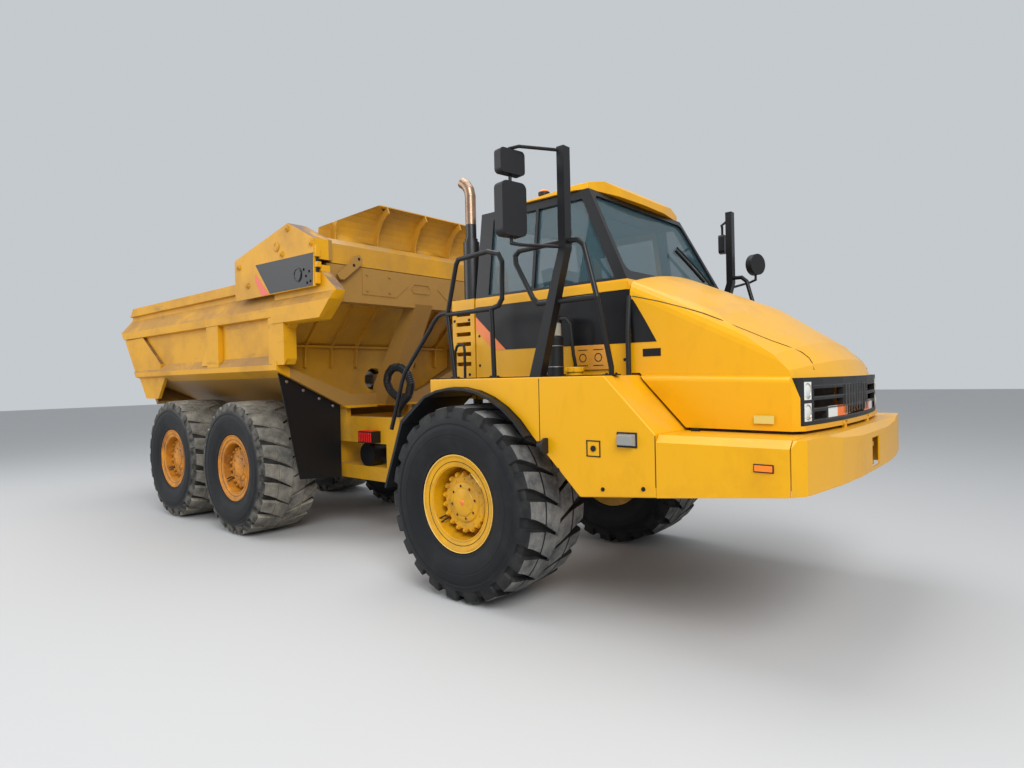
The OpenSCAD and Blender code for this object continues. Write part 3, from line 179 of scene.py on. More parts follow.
def paint(name, clean, dirty, amount, rough, dust=0.0, scale=1.6):
    """Paint with soft dirt clouds, streaks, dust near the ground, and dust or wear on what faces up."""
    r = Recipe(name, rough, PAINT_SHINE)
    clouds = r.ramp(r.noise(scale, 7, 0.62), 0.62 - amount, 0.86 - amount * 0.5)
    streaks = r.ramp(r.noise(9.0, 5, 0.6, (1, 1, 0.35)), 0.55, 0.85)
    base = r.mix(clouds, clean, dirty)
    base = r.mix(r.times(streaks, 0.4), base, tuple(c * FADE for c in clean))
    low = r.ramp(r.place("Z"), 0.45, 1.25, (0.55, 0.55, 0.55), (0, 0, 0))
    grime = r.ramp(r.noise(5.0, 8, 0.7), 0.35, 0.75)
    base = r.mix(r.times(low, grime), base, GROUND_DIRT)
    if dust:
        worn = r.ramp(r.noise(3.2, 8, 0.72, (0.6, 1, 1)), 0.42, 0.60)
        base = r.mix(r.times(r.times(r.upward(), worn), dust), base, DUST)
    return r.done(base)


def body_paint(name, clean, dirty, inner):
    """The load body's paint: rust on the shelves, and bare worn metal inside the load space."""
    r = Recipe(name, 0.50, PAINT_SHINE)
    base = r.mix(r.ramp(r.noise(1.3, 8, 0.66), 0.46, 0.74), clean, dirty)
    scratches = r.ramp(r.noise(6.0, 6, 0.7, (0.25, 1, 1)), 0.60, 0.72)
    base = r.mix(r.times(scratches, 0.5), base, SCRATCH_RUST)
    worn = r.ramp(r.noise(2.4, 8, 0.74, (0.5, 1, 1)), 0.34, 0.52)
    base = r.mix(r.times(r.times(r.upward(), worn), 0.90), base, SHELF_RUST)
    between = r.calc("LESS_THAN", r.calc("ABSOLUTE", r.place("Y")), LOAD_Y)
    inside = r.times(between, r.calc("GREATER_THAN", r.place("Z"), LOAD_Z))
    return r.done(r.mix(r.times(inside, 0.85), base, inner))


def plain(name, colour, rough, metallic=0.0, shine=0.5):
    r = Recipe(name, rough, shine)
    r.set("Metallic", metallic)
    return r.done(colour)


def dusty(name, dark, dust, low, high, rough):
    r = Recipe(name, rough, 0.25)
    return r.done(r.mix(r.ramp(r.noise(7.0, 8, 0.65), low, high), dark, dust))


def glass(name, colour, alpha):
    r = Recipe(name, 0.0)
    r.set("Alpha", alpha)
    return r.done(colour)


def sidewall(name, worn):
    """Dark rubber with a paler scuffed ring near the shoulder."""
    r = Recipe(name, 0.58, 0.22)
    amount = r.ramp(r.noise(4.0, 8, 0.65), 0.50, 0.85)
    base = r.mix(amount, (0.009, 0.010, 0.012), (0.024, 0.024, 0.025))
    squares = [r.times(r.place(axis), r.place(axis)) for axis in ("X", "Z")]
    ring = r.ramp(r.calc("SQRT", r.calc("ADD", *squares)), 0.655, 0.700)
    scuffs = r.ramp(r.noise(9.0, 6, 0.6), 0.35, 0.70)
    return r.done(r.mix(r.times(r.times(ring, scuffs), worn), base, SCUFF_GREY))


def stack_material():
    """Heat-tinted pipe above the guard, and black paint below it."""
    r = Recipe("stack", 0.36)
    low = r.calc("LESS_THAN", r.place("Z"), STACK_BLACK_Z)
    tint = r.ramp(r.noise(3.0, 5, 0.6), 0.35, 0.70, (0.42, 0.30, 0.21), (0.24, 0.15, 0.10))
    r.set("Metallic", r.calc("SUBTRACT", 0.85, low))
    return r.done(r.mix(low, tint, (0.014, 0.014, 0.015)))


def lens_material():
    """Headlamps and outer lenses are clear, and the turn lenses nearer the middle are amber."""
    r = Recipe("lamp_lens", 0.12)
    amber = r.calc("LESS_THAN", r.calc("ABSOLUTE", r.place("Y")), AMBER_Y)
    return r.done(r.mix(amber, (0.74, 0.76, 0.72), (0.85, 0.17, 0.008)))


YELLOW = paint("yellow_paint", (0.72, 0.350, 0.001), (0.56, 0.255, 0.002), 0.08, 0.33, 0.20)
FRAME_YELLOW = paint("frame_yellow", (0.60, 0.295, 0.004), (0.36, 0.19, 0.03), 0.20, 0.5, 0.7)
BODY_YELLOW = body_paint("body_yellow", (0.66, 0.315, 0.002), (0.44, 0.200, 0.008), (0.28, 0.155, 0.045))
BLADE_YELLOW = paint("blade_yellow", (0.60, 0.29, 0.012), (0.34, 0.18, 0.04), 0.26, 0.55, 0.6)
RIM_RUST = paint("rim_rust", (0.70, 0.27, 0.012), (0.28, 0.09, 0.018), 0.26, 0.55, scale=5.0)
RIM_CLEAN = paint("rim_yellow", (0.70, 0.345, 0.002), (0.38, 0.17, 0.008), 0.12, 0.4, scale=4.0)
BLACK = plain("black_paint", (0.008, 0.008, 0.009), 0.36, shine=0.30)
SATIN = plain("black_plastic", (0.013, 0.013, 0.014), 0.50, shine=0.30)
DECAL = plain("stripe_black", (0.006, 0.006, 0.007), 0.30, shine=0.25)
FLARE = dusty("flare_rubber", (0.010, 0.011, 0.013), (0.030, 0.031, 0.034), 0.55, 0.9, 0.42)
STEEL = plain("bare_steel", (0.42, 0.40, 0.37), 0.42, 1.0)
BRIGHT = plain("bright_steel", (0.70, 0.64, 0.54), 0.28, 1.0)
IRON = dusty("engine_iron", (0.05, 0.05, 0.05), (0.12, 0.11, 0.09), 0.45, 0.8, 0.7)
FABRIC = plain("seat_fabric", (0.03, 0.03, 0.035), 0.9)
HOSE = plain("hose_rubber", (0.009, 0.009, 0.010), 0.40, shine=0.35)
SIDEWALL = sidewall("tyre_sidewall", 0.10)
REAR_SIDEWALL = sidewall("tyre_sidewall_rear", 0.75)
TREAD = dusty("tyre_tread", (0.075, 0.076, 0.078), (0.23, 0.225, 0.21), 0.36, 0.66, 0.85)
TREAD_EDGE = dusty("tread_edge", (0.014, 0.014, 0.014), (0.045, 0.044, 0.040), 0.40, 0.72, 0.85)
DUSTY_TREAD = dusty("tyre_tread_dusty", (0.10, 0.095, 0.085), (0.26, 0.24, 0.20), 0.34, 0.62, 0.95)
DUSTY_EDGE = dusty("tread_edge_dusty", (0.16, 0.145, 0.115), (0.36, 0.33, 0.27), 0.30, 0.60, 0.95)
# Near-black groove floors: painted shade in the tread's grooves
GROOVE_SHADE = plain("tread_groove_shade", (0.010, 0.010, 0.010), 0.95)
GLASS = glass("window_glass", (0.045, 0.10, 0.12), 0.45)
STACK = stack_material()
# Near-black: painted shade for the holes in the head frame's latch ears
EAR_HOLE_SHADE = plain("painted_hole_shade", (0.006, 0.006, 0.006), 0.9)
# Paler yellow: a painted highlight on the front rims' flange edge, and also the colour of their blank plate
HIGHLIGHT_AND_PLATE_YELLOW = plain("edge_highlight_and_plate", (0.86, 0.60, 0.16), 0.4)
AMBER = plain("amber_lens", (0.85, 0.20, 0.01), 0.18)
RED = plain("red_lens", (0.60, 0.012, 0.010), 0.25)
CLEAR = plain("clear_lens", (0.55, 0.57, 0.56), 0.10)
MARKER_GREY = plain("marker_lens", (0.26, 0.26, 0.24), 0.15)
STRIPE_RED = plain("stripe_red", (0.68, 0.075, 0.025), 0.35)
STRIPE_ORANGE = plain("stripe_orange", (0.80, 0.19, 0.035), 0.35)
LABEL = plain("blank_label", (0.62, 0.50, 0.13), 0.4)
VENT = plain("vent_cover", (0.62, 0.26, 0.02), 0.4)
RESERVOIR = plain("reservoir", (0.45, 0.42, 0.33), 0.2)
MIRROR = plain("mirror_glass", (0.75, 0.78, 0.80), 0.04, 1.0)
FLOOR = plain("floor_grey", (0.50, 0.50, 0.50), 0.85)
LENS = lens_material()

BY_SLOT = {
    "yellow_paint": YELLOW,
    "worn_yellow": RIM_RUST,
    "black_paint": BLACK,
    "bare_steel": STEEL,
    "bright_steel": BRIGHT,
    "engine_iron": IRON,
    "tyre_rubber": SIDEWALL,
    "flare_rubber": FLARE,
    "hose_rubber": HOSE,
    "black_plastic": SATIN,
    "seat_fabric": FABRIC,
    "window_glass": GLASS,
    "lamp_lens": LENS,
}
FRAME_NODES = ("rear_frame", "front_frame", "front_fork", "front_axle", "rear_axles", "walking_beams",
               "hitch")
BY_NODE = {
    **dict.fromkeys(("load_body", "head_frame", "tailgate", "carriages"), BODY_YELLOW),
    **dict.fromkeys(FRAME_NODES, FRAME_YELLOW),
    **dict.fromkeys(("rim_front_left", "rim_front_right"), RIM_CLEAN),
    "ejector_blade": BLADE_YELLOW,
    "exhaust": STACK,
}
for name, obj in NODES.items():
    obj.data.materials.clear()
    obj.data.materials.append(BY_NODE.get(name, BY_SLOT[SLOTS[name]]))

# Painted plate and mirror heads get a radius on their edges, wider on pressed and moulded pieces
EDGE = 0.004
WIDE_EDGES = {"cab_roof": 0.030, "bumper": 0.012, "fender_left": 0.010, "fender_right": 0.010,
              "mirrors": 0.012}
for name in ("load_body", "head_frame", "ejector_blade", "carriages", "rear_frame", "front_frame", "cowl",
             "bumper", "fender_left", "fender_right", "cab_shell", "cab_roof", "tailgate", "mirrors"):
    weld = NODES[name].modifiers.new("weld", "WELD")
    weld.merge_threshold = 0.0001
    edge = NODES[name].modifiers.new("edges", "BEVEL")
    edge.width = WIDE_EDGES.get(name, EDGE)
    edge.segments = 4 if name in WIDE_EDGES else 2
    edge.limit_method = "ANGLE"
    edge.angle_limit = math.radians(35)
    edge.harden_normals = True


# Shapes: vertices and faces gathered piece by piece, then made into one object
def circle(n):
    """The cosine and sine of n even steps round a circle."""
    return [(math.cos(math.tau * i / n), math.sin(math.tau * i / n)) for i in range(n)]


def facing(axis):
    """The turn that takes Z to an axis."""
    return Vector(axis).to_track_quat("Z", "Y").to_matrix()


class Shape:
    def __init__(self):
        self.verts = []
        self.faces = []
        self.mats = []

    def add(self, verts, faces, mat=0):
        base = len(self.verts)
        self.verts += [Vector(v) for v in verts]
        self.faces += [[i + base for i in f] for f in faces]
        self.mats += [mat] * len(faces)

    def box(self, lo, hi, mat=0):
        xs, ys, zs = ((min(a, b), max(a, b)) for a, b in zip(lo, hi))
        verts = [(x, y, z) for x in xs for y in ys for z in zs]
        faces = [(0, 1, 3, 2), (4, 6, 7, 5), (0, 4, 5, 1), (2, 3, 7, 6), (0, 2, 6, 4), (1, 5, 7, 3)]
        self.add(verts, faces, mat)

    def slab(self, points, shift, mat=0):
        """A flat polygon pushed along a vector."""
        points = [Vector(p) for p in points]
        shift = Vector(shift)
        n = len(points)
        spans = [p - points[0] for p in points]
        normal = sum((spans[i].cross(spans[i + 1]) for i in range(1, n - 1)), Vector())
        if normal.dot(shift) > 0:
            points.reverse()
        verts = points + [p + shift for p in points]
        faces = [list(range(n)), list(range(2 * n - 1, n - 1, -1))]
        faces += [[(i + 1) % n, i, i + n, (i + 1) % n + n] for i in range(n)]
        self.add(verts, faces, mat)

    def rod(self, a, b, r, n=16, r2=None, mat=0):
        a, b = Vector(a), Vector(b)
        turn = facing(b - a)
        r2 = r if r2 is None else r2
        spokes = [turn @ Vector((c, s, 0)) for c, s in circle(n)]
        verts = [a + s * r for s in spokes] + [b + s * r2 for s in spokes]
        faces = [list(range(n - 1, -1, -1)), list(range(n, 2 * n))]
        faces += [[i, (i + 1) % n, (i + 1) % n + n, i + n] for i in range(n)]
        self.add(verts, faces, mat)

    def nut(self, at, axis, r, h, mat=0):
        """A nut or bolt head on its washer."""
        at, axis = Vector(at), Vector(axis).normalized()
        self.rod(at, at + axis * h * 0.3, r * 1.35, 12, mat=mat)
        self.rod(at, at + axis * h, r, 6, mat=mat)

    def ring(self, centre, axis, big, small, n=36, m=8, mat=0):
        centre = Vector(centre)
        turn = facing(axis)
        verts = []
        for c, s in circle(n):
            for out, up in circle(m):
                reach = big + small * out
                verts.append(centre + turn @ Vector((reach * c, reach * s, small * up)))
        faces = [[i * m + j, (i + 1) % n * m + j, (i + 1) % n * m + (j + 1) % m, i * m + (j + 1) % m]
                 for i in range(n) for j in range(m)]
        self.add(verts, faces, mat)

    def tube(self, path, r, n=12, mat=0):
        """A round tube along a path, mitred at its bends."""
        path = [Vector(p) for p in path]
        side = None
        verts = []
        for i, p in enumerate(path):
            before = (p - path[i - 1]).normalized() if i else None
            after = (path[i + 1] - p).normalized() if i < len(path) - 1 else None
            along = ((before or after) + (after or before)).normalized()
            if side is None:
                side = along.orthogonal().normalized()
            side = (side - along * side.dot(along)).normalized()
            up = along.cross(side)
            stretch = 1 / max(0.5, along.dot(after)) if before and after else 1
            verts += [p + (side * c + up * s) * r * stretch for c, s in circle(n)]
        faces = [[i * n + k, i * n + (k + 1) % n, (i + 1) * n + (k + 1) % n, (i + 1) * n + k]
                 for i in range(len(path) - 1) for k in range(n)]
        last = (len(path) - 1) * n
        faces += [list(range(n - 1, -1, -1)), [last + k for k in range(n)]]
        self.add(verts, faces, mat)

    def dome(self, centre, axis, r, h, n=20, m=5, mat=0):
        centre = Vector(centre)
        turn = facing(axis)
        verts = []
        for j in range(m):
            t = j / m * math.pi / 2
            reach, rise = r * math.cos(t), h * math.sin(t)
            verts += [centre + turn @ Vector((reach * c, reach * s, rise)) for c, s in circle(n)]
        verts.append(centre + turn @ Vector((0, 0, h)))
        faces = [list(range(n - 1, -1, -1))]
        faces += [[j * n + i, j * n + (i + 1) % n, (j + 1) * n + (i + 1) % n, (j + 1) * n + i]
                  for j in range(m - 1) for i in range(n)]
        faces += [[(m - 1) * n + i, (m - 1) * n + (i + 1) % n, m * n] for i in range(n)]
        self.add(verts, faces, mat)

    def lathe(self, axis, profile, n=48, mat=0):
        """A profile of radius and height, from the outer foot to the middle, turned about an axis."""
        turn = facing(axis)
        verts = []
        for c, s in circle(n):
            verts += [turn @ Vector((r * c, r * s, h)) for r, h in profile[:-1]]
        m = len(profile) - 1
        faces = [[i * m + j, (i + 1) % n * m + j, (i + 1) % n * m + j + 1, i * m + j + 1]
                 for i in range(n) for j in range(m - 1)]
        verts.append(turn @ Vector((0, 0, profile[-1][1])))
        faces += [[i * m + m - 1, (i + 1) % n * m + m - 1, n * m] for i in range(n)]
        faces.append([i * m for i in range(n - 1, -1, -1)])
        self.add(verts, faces, mat)

    def mirrored(self):
        """A copy on the other side of the truck."""
        twin = Shape()
        twin.verts = [Vector((v.x, -v.y, v.z)) for v in self.verts]
        twin.faces = [list(reversed(f)) for f in self.faces]
        twin.mats = list(self.mats)
        return twin

    def merge(self, other):
        base = len(self.verts)
        self.verts += other.verts
        self.faces += [[i + base for i in f] for f in other.faces]
        self.mats += other.mats
        return self

    def turned(self, degrees):
        """The same shape, turned about Z."""
        turn = Matrix.Rotation(math.radians(degrees), 3, "Z")
        self.verts = [turn @ v for v in self.verts]
        return self

    def done(self, name, mats, body, slot, at=(0, 0, 0), bevel=0.0):
        mats = mats if isinstance(mats, list) else [mats]
        mesh = make_mesh(name, [tuple(v) for v in self.verts], self.faces, mats, self.mats, 40)
        return put(mesh, name, body, at, bevel)


def make_mesh(name, verts, faces, mats, face_mats, sharp):
    """A smooth mesh with sharp edges where the faces meet at more than an angle in degrees."""
    mesh = bpy.data.meshes.new(name)
    mesh.from_pydata(verts, [], faces)
    for mat in mats:
        mesh.materials.append(mat)
    mesh.polygons.foreach_set("material_index", face_mats)
    mesh.polygons.foreach_set("use_smooth", [True] * len(faces))
    mesh.set_sharp_from_angle(angle=math.radians(sharp))
    mesh.update()
    return mesh


def put(mesh, name, body, at=(0, 0, 0), bevel=0.0):
    obj = bpy.data.objects.new(name, mesh)
    obj.location = at
    bpy.context.scene.collection.objects.link(obj)
    if bevel:
        mod = obj.modifiers.new("edges", "BEVEL")
        mod.width = bevel
        mod.segments = 2
        mod.limit_method = "ANGLE"
    bpy.context.view_layer.update()
    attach(obj, body)
    return obj


def clip_x(points, x0, x1):
    """The part of a polygon in X and Z that lies between two X values."""
    for limit, keep in ((x0, 1), (x1, -1)):
        out = []
        for i, p in enumerate(points):
            q = points[(i + 1) % len(points)]
            if (p[0] - limit) * keep >= 0:
                out.append(p)
            if (p[0] - limit) * (q[0] - limit) < 0:
                t = (limit - p[0]) / (q[0] - p[0])
                out.append((limit, p[1] + (q[1] - p[1]) * t))
        points = out
    return points


# Tyres: sidewall rings, then lugs of a shoulder block and an inner block, with wide grooves between
# the lugs that narrow to a point near the middle; the two halves stand half a pitch apart
PITCHES = 22
BEAD_R = 0.3205
LUG = 0.042
FLANK = 0.020
GROOVE_AT = 0.80
GROOVE_HALF = 0.22
BLOCK = 1 - 2 * GROOVE_HALF
# Steps round one pitch: share of the pitch, and whether it lies in the groove
STEPS = ((0.02, 0), (0.18, 0), (0.34, 0), (0.50, 0), (0.58, 0), (0.64, 1), (0.80, 1), (0.96, 1))
# Sidewall: distance from the middle plane, radius
WALL = (
    (0.2680, BEAD_R), (0.2860, 0.354), (0.3020, 0.390), (0.3200, 0.398), (0.3310, 0.403), (0.3340, 0.411),
    (0.3330, 0.421), (0.3420, 0.440), (0.3540, 0.470), (0.3650, 0.508), (0.3705, 0.546), (0.3685, 0.549),
    (0.3690, 0.556), (0.3712, 0.559), (0.3715, 0.594), (0.3700, 0.622), (0.3665, 0.627), (0.3660, 0.640),
    (0.3700, 0.645), (0.3650, 0.668), (0.3600, 0.684),
)
# The same two for the tread, then groove's share, cut into the flank, pinch, zigzag, slant, drop
ROWS = tuple((y, r, 0, 0, 0, 0, 0, 0) for y, r in WALL) + (
    (0.3590, 0.690, 0, 1, 0, 0, 0, 0), (0.3520, 0.724, 0, 1, 0, 0, 0, 0),
    (0.3430, 0.755, 0.5, 1, 0, 0, 0, 0), (0.3320, 0.7725, 1, 0.3, 0, 0, 0.02, 0),
    (0.3200, 0.7775, 1, 0, 0, 0, 0.03, 0),
    (0.2800, 0.7810, 1, 0, 0.08, 0, 0.08, 0), (0.2300, 0.7840, 1, 0, 0.25, 0, 0.15, 0),
    (0.1790, 0.7860, 1, 0, 0.40, 0, 0.23, 0), (0.1770, 0.7860, 1, 0, 0.40, 0, 0.235, 0.022),
    (0.1640, 0.7860, 1, 0, 0.45, 0, 0.26, 0.022), (0.1620, 0.7865, 1, 0, 0.56, 0, 0.265, 0),
    (0.1150, 0.7880, 0.9, 0, 0.62, 0.2, 0.36, 0), (0.0700, 0.7895, 0.8, 0, 0.66, 0.5, 0.46, 0),
    (0.0420, 0.7898, 0.8, 0, 0.70, 0.7, 0.52, 0), (0.0080, 0.7900, 0.8, 0, 0.72, 1, 0.60, 0),
    (0.0055, 0.7900, 0, 0, 0, 1, 0.61, 0.018),
)
# Zigzag of the middle in metres; faces above the first radius are lug tops, below the second groove floors,
# which are painted darker as shade
ZIGZAG = 0.014
TREAD_R = 0.768
GROOVE_R = 0.757


def tyre_mesh(name, mats):
    rows = [(-1, row) for row in ROWS] + [(1, row) for row in reversed(ROWS)]
    m = len(rows)
    count = PITCHES * len(STEPS)
    verts = []
    radii = []
    for t in range(count):
        share, cut = STEPS[t % len(STEPS)]
        zig_at = 1 - 4 * abs((share + 0.3) % 1 - 0.5)
        for sign, (y, r, wide, flank, pinch, zig, slant, drop) in rows:
            half = GROOVE_HALF * (1 - pinch)
            if cut:
                moved = GROOVE_AT + (share - GROOVE_AT) * (1 - pinch)
            else:
                along = (share - STEPS[0][0]) / BLOCK
                moved = GROOVE_AT - 1 + half + along * (1 - 2 * half)
            stagger = 0.5 if sign > 0 else 0
            angle = math.tau / PITCHES * (t // len(STEPS) + moved + slant + stagger)
            reach = r - max(LUG * wide * cut, drop)
            across = sign * (y - FLANK * flank * cut) + ZIGZAG * zig * zig_at
            verts.append((reach * math.sin(angle), across, reach * math.cos(angle)))
            radii.append(reach)
    faces = []
    slots = []
    crown = [i for i, row in enumerate(ROWS) if row[1] > TREAD_R][0]
    for t in range(count):
        nxt = (t + 1) % count
        for k in range(m):
            k2 = (k + 1) % m
            face = (t * m + k, t * m + k2, nxt * m + k2, nxt * m + k)
            faces.append(face)
            low, high = min(radii[i] for i in face), max(radii[i] for i in face)
            on_crown = crown <= min(k, m - 1 - k)
            # Groove floors take the darkest slot: painted shade in the grooves
            slots.append(1 if low > TREAD_R else (0 if not on_crown else 3 if high < GROOVE_R else 2))
    return make_mesh(name, verts, faces, mats, slots, 35)


# The hub's drum: radius and distance from the wheel's middle plane
DRUM = ((0.226, 0.100), (0.226, 0.222), (0.218, 0.230), (0.166, 0.231), (0.160, 0.240), (0.153, 0.2455),
        (0.114, 0.2475), (0.110, 0.255), (0.102, 0.259), (0.0, 0.260))
DRUM_BOLTS, RIM_NUTS, HUB_HOLE_SHADES, FACE_BOLTS = 18, 20, 8, 12
# Turn of the blank plate and of the valve's two bars, in radians
PLATE_TURN = math.radians(46)
BAR_TURNS = (3.70, 3.82)


def wheel_trim(side, front):
    """Drum, bolts, cover, rings, plate and valve of one wheel, in the wheel's own place."""
    shape = Shape()

    def at(r, a, y):
        return (r * math.cos(a), side * y, r * math.sin(a))

    out = (0, side, 0)
    shape.lathe(out, DRUM, 48)
    for i in range(DRUM_BOLTS):
        a = math.tau * (i + 0.5) / DRUM_BOLTS
        shape.rod(at(0.225, a, 0.140), at(0.225, a, 0.233), 0.0225, 14)
        shape.nut(at(0.225, a, 0.233), out, 0.014, 0.016)
    for i in range(RIM_NUTS):
        shape.nut(at(0.262, math.tau * i / RIM_NUTS, 0.090), out, 0.013, 0.024)
    # Black discs, each in a ring, are painted shade for the small holes in the hub's cover
    for i in range(HUB_HOLE_SHADES):
        a = math.tau * (i + 0.25) / HUB_HOLE_SHADES
        shape.rod(at(0.131, a, 0.245), at(0.131, a, 0.2485), 0.011, 14, mat=1)
        shape.ring(at(0.131, a, 0.2475), out, 0.014, 0.003, 16, 6)
    for i in range(FACE_BOLTS):
        shape.nut(at(0.185, math.tau * i / FACE_BOLTS, 0.2305), out, 0.007, 0.006)
    for big, y in ((0.302, 0.3020), (0.378, 0.3205)):
        shape.ring((0, side * y, 0), out, big, 0.005, 64, 6)
    shape.ring((0, side * 0.3110, 0), out, 0.336, 0.0025, 64, 6, 1)
    # The ring on the flange's outer edge is a painted highlight on the front wheels
    shape.ring((0, side * 0.3225, 0), out, 0.3895, 0.0035, 64, 6, 3)
    shape.dome(at(0, 0, 0.258), out, 0.024, 0.010, mat=2 if front else 0)
    # Blank plate on the well of the rim with a stud at each end, and the valve's two bars
    across = Vector((-math.sin(PLATE_TURN), 0, math.cos(PLATE_TURN)))
    inward = Vector((-math.cos(PLATE_TURN), 0, -math.sin(PLATE_TURN)))
    middle = Vector(at(0.2915, PLATE_TURN, 0.255))
    corners = [middle + across * u + Vector((0, v, 0)) for u, v in
               ((-0.080, -0.04), (0.080, -0.04), (0.080, 0.04), (-0.080, 0.04))]
    shape.slab(corners, inward * 0.016, 3)
    for u in (-0.096, 0.096):
        shape.rod(middle + across * u, middle + across * u + inward * 0.022, 0.010, 10, mat=1)
    for a in BAR_TURNS:
        shape.tube([at(0.288, a, 0.285), at(0.262, a, 0.270), at(0.234, a, 0.236)], 0.006, 8, 1)
    return shape


# The groove floors are painted darker than the lug walls as shade; on the rear tyres they take the undusted
# tread edge material
TREADS = {"front": tyre_mesh("tread_front", [SIDEWALL, TREAD, TREAD_EDGE, GROOVE_SHADE]),
          "rear": tyre_mesh("tread_rear", [REAR_SIDEWALL, DUSTY_TREAD, DUSTY_EDGE, TREAD_EDGE])}
for place_name in ("front", "mid", "rear"):
    for word, side in (("right", RIGHT), ("left", LEFT)):
        at = (axle_x(place_name), side * WHEEL_Y, AXLE_Z)
        body = f"wheel_{place_name}_{word}"
        front = place_name == "front"
        tread = TREADS["front" if front else "rear"]
        tyre = put(tread, f"lugged_tyre_{place_name}_{word}", body, at)
        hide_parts(f"tyre_{place_name}_{word}")
        # Slot 3 paints a highlight on the front rims' flange edge and colours their blank plate
        mats = [RIM_CLEAN if front else RIM_RUST, BLACK, STRIPE_ORANGE, HIGHLIGHT_AND_PLATE_YELLOW if front else RIM_RUST]
        wheel_trim(side, front).done(f"wheel_trim_{place_name}_{word}", mats, body, "worn_yellow", at)


# Stripes on the cab and the hood, with their ends as in the photograph
CAB_STRIPE = from_axle((-0.278, 2.413), (-0.278, 2.336), (0.070, 2.027), (1.283, 2.020), (1.283, 2.413))
CAB_FLASH = from_axle((-0.278, 2.333), (-0.278, 2.222), (-0.074, 2.029), (0.066, 2.027))
HOOD_STRIPE = [(HOOD_X0 + 0.003, 2.338),
               *from_axle((1.325, 2.330), (1.352, 2.290), (1.421, 2.179), (1.515, 2.017)),
               (HOOD_X0 + 0.003, 2.019)]
DOOR_X = (FX - 0.130, FX + 0.690)


def on_cab(shape, points, side, mat=0):
    if len(points) > 2:
        shape.slab([(x, side * (CAB_Y + OFF), z) for x, z in points], (0, side * SKIN, 0), mat)


def hood_y(x):
    return CAB_Y + 0.030 + (x - HOOD_X0) * HOOD_TAPER


def on_hood(shape, points, side):
    shape.slab([(x, side * (hood_y(x) + OFF), z) for x, z in points], (0, side * SKIN, 0))


def stripes():
    near = Shape()
    on_cab(near, CAB_STRIPE, RIGHT)
    on_cab(near, CAB_FLASH, RIGHT, 1)
    far = Shape()
    for x0, x1 in ((FX - 1, DOOR_X[0] - 0.001), (DOOR_X[1] + 0.001, FX + 2)):
        on_cab(far, clip_x(CAB_STRIPE, x0, x1), LEFT)
        on_cab(far, clip_x(CAB_FLASH, x0, x1), LEFT, 1)
    near.merge(far).done("cab_stripes", [DECAL, STRIPE_ORANGE], "tractor", "black_paint")
    door = Shape()
    on_cab(door, clip_x(CAB_STRIPE, DOOR_X[0] + 0.008, DOOR_X[1] - 0.008), LEFT)
    on_cab(door, clip_x(CAB_FLASH, DOOR_X[0] + 0.008, DOOR_X[1] - 0.008), LEFT, 1)
    door.done("door_stripe", [DECAL, STRIPE_ORANGE], "door", "black_paint")
    hood = Shape()
    for side in SIDES:
        on_hood(hood, HOOD_STRIPE, side)
        # A blank plate, and a blank label on the lower panel
        on_hood(hood, from_axle((1.400, 1.970), (1.545, 1.970), (1.545, 1.915), (1.400, 1.915)), side)
        x0, x1, z0, z1 = FX + 2.215, FX + 2.340, 1.468, 1.518
        y0, y1 = (CAB_Y + 0.070 + (x - HOOD_X0) * HOOD_TAPER + 0.012 for x in (x0, x1))
        hood.slab([(x0, side * y0, z0), (x1, side * y1, z0), (x1, side * y1, z1), (x0, side * y0, z1)],
                  (0, side * SKIN, 0), 1)
    hood.done("hood_stripes", [DECAL, LABEL], "hood", "black_paint")


stripes()


# Cab: wiper, roof marker, monitor, bolts and the loop beside the cowl
def glass_point(y, z, off):
    """A point in front of the windscreen, off metres out from the glass."""
    return (FX + 1.285 - (z - 2.44) * 0.5061 + off * 0.892, y, z + off * 0.4515)


# Points of the wiper: Y, Z and distance from the glass
WIPER_PIVOT = ((0.60, 2.55, 0.004), (0.60, 2.55, 0.045))
WIPER_ARM = ((0.60, 2.55, 0.040), (0.45, 2.72, 0.045), (0.29, 2.90, 0.030))
WIPER_BLADE = ((0.25, 2.87, 0.026), (0.39, 2.74, 0.028), (0.53, 2.60, 0.026))
WIPER_RUBBER = ((0.25, 2.87, 0.008), (0.53, 2.60, 0.008), (0.53, 2.60, 0.022), (0.25, 2.87, 0.022))


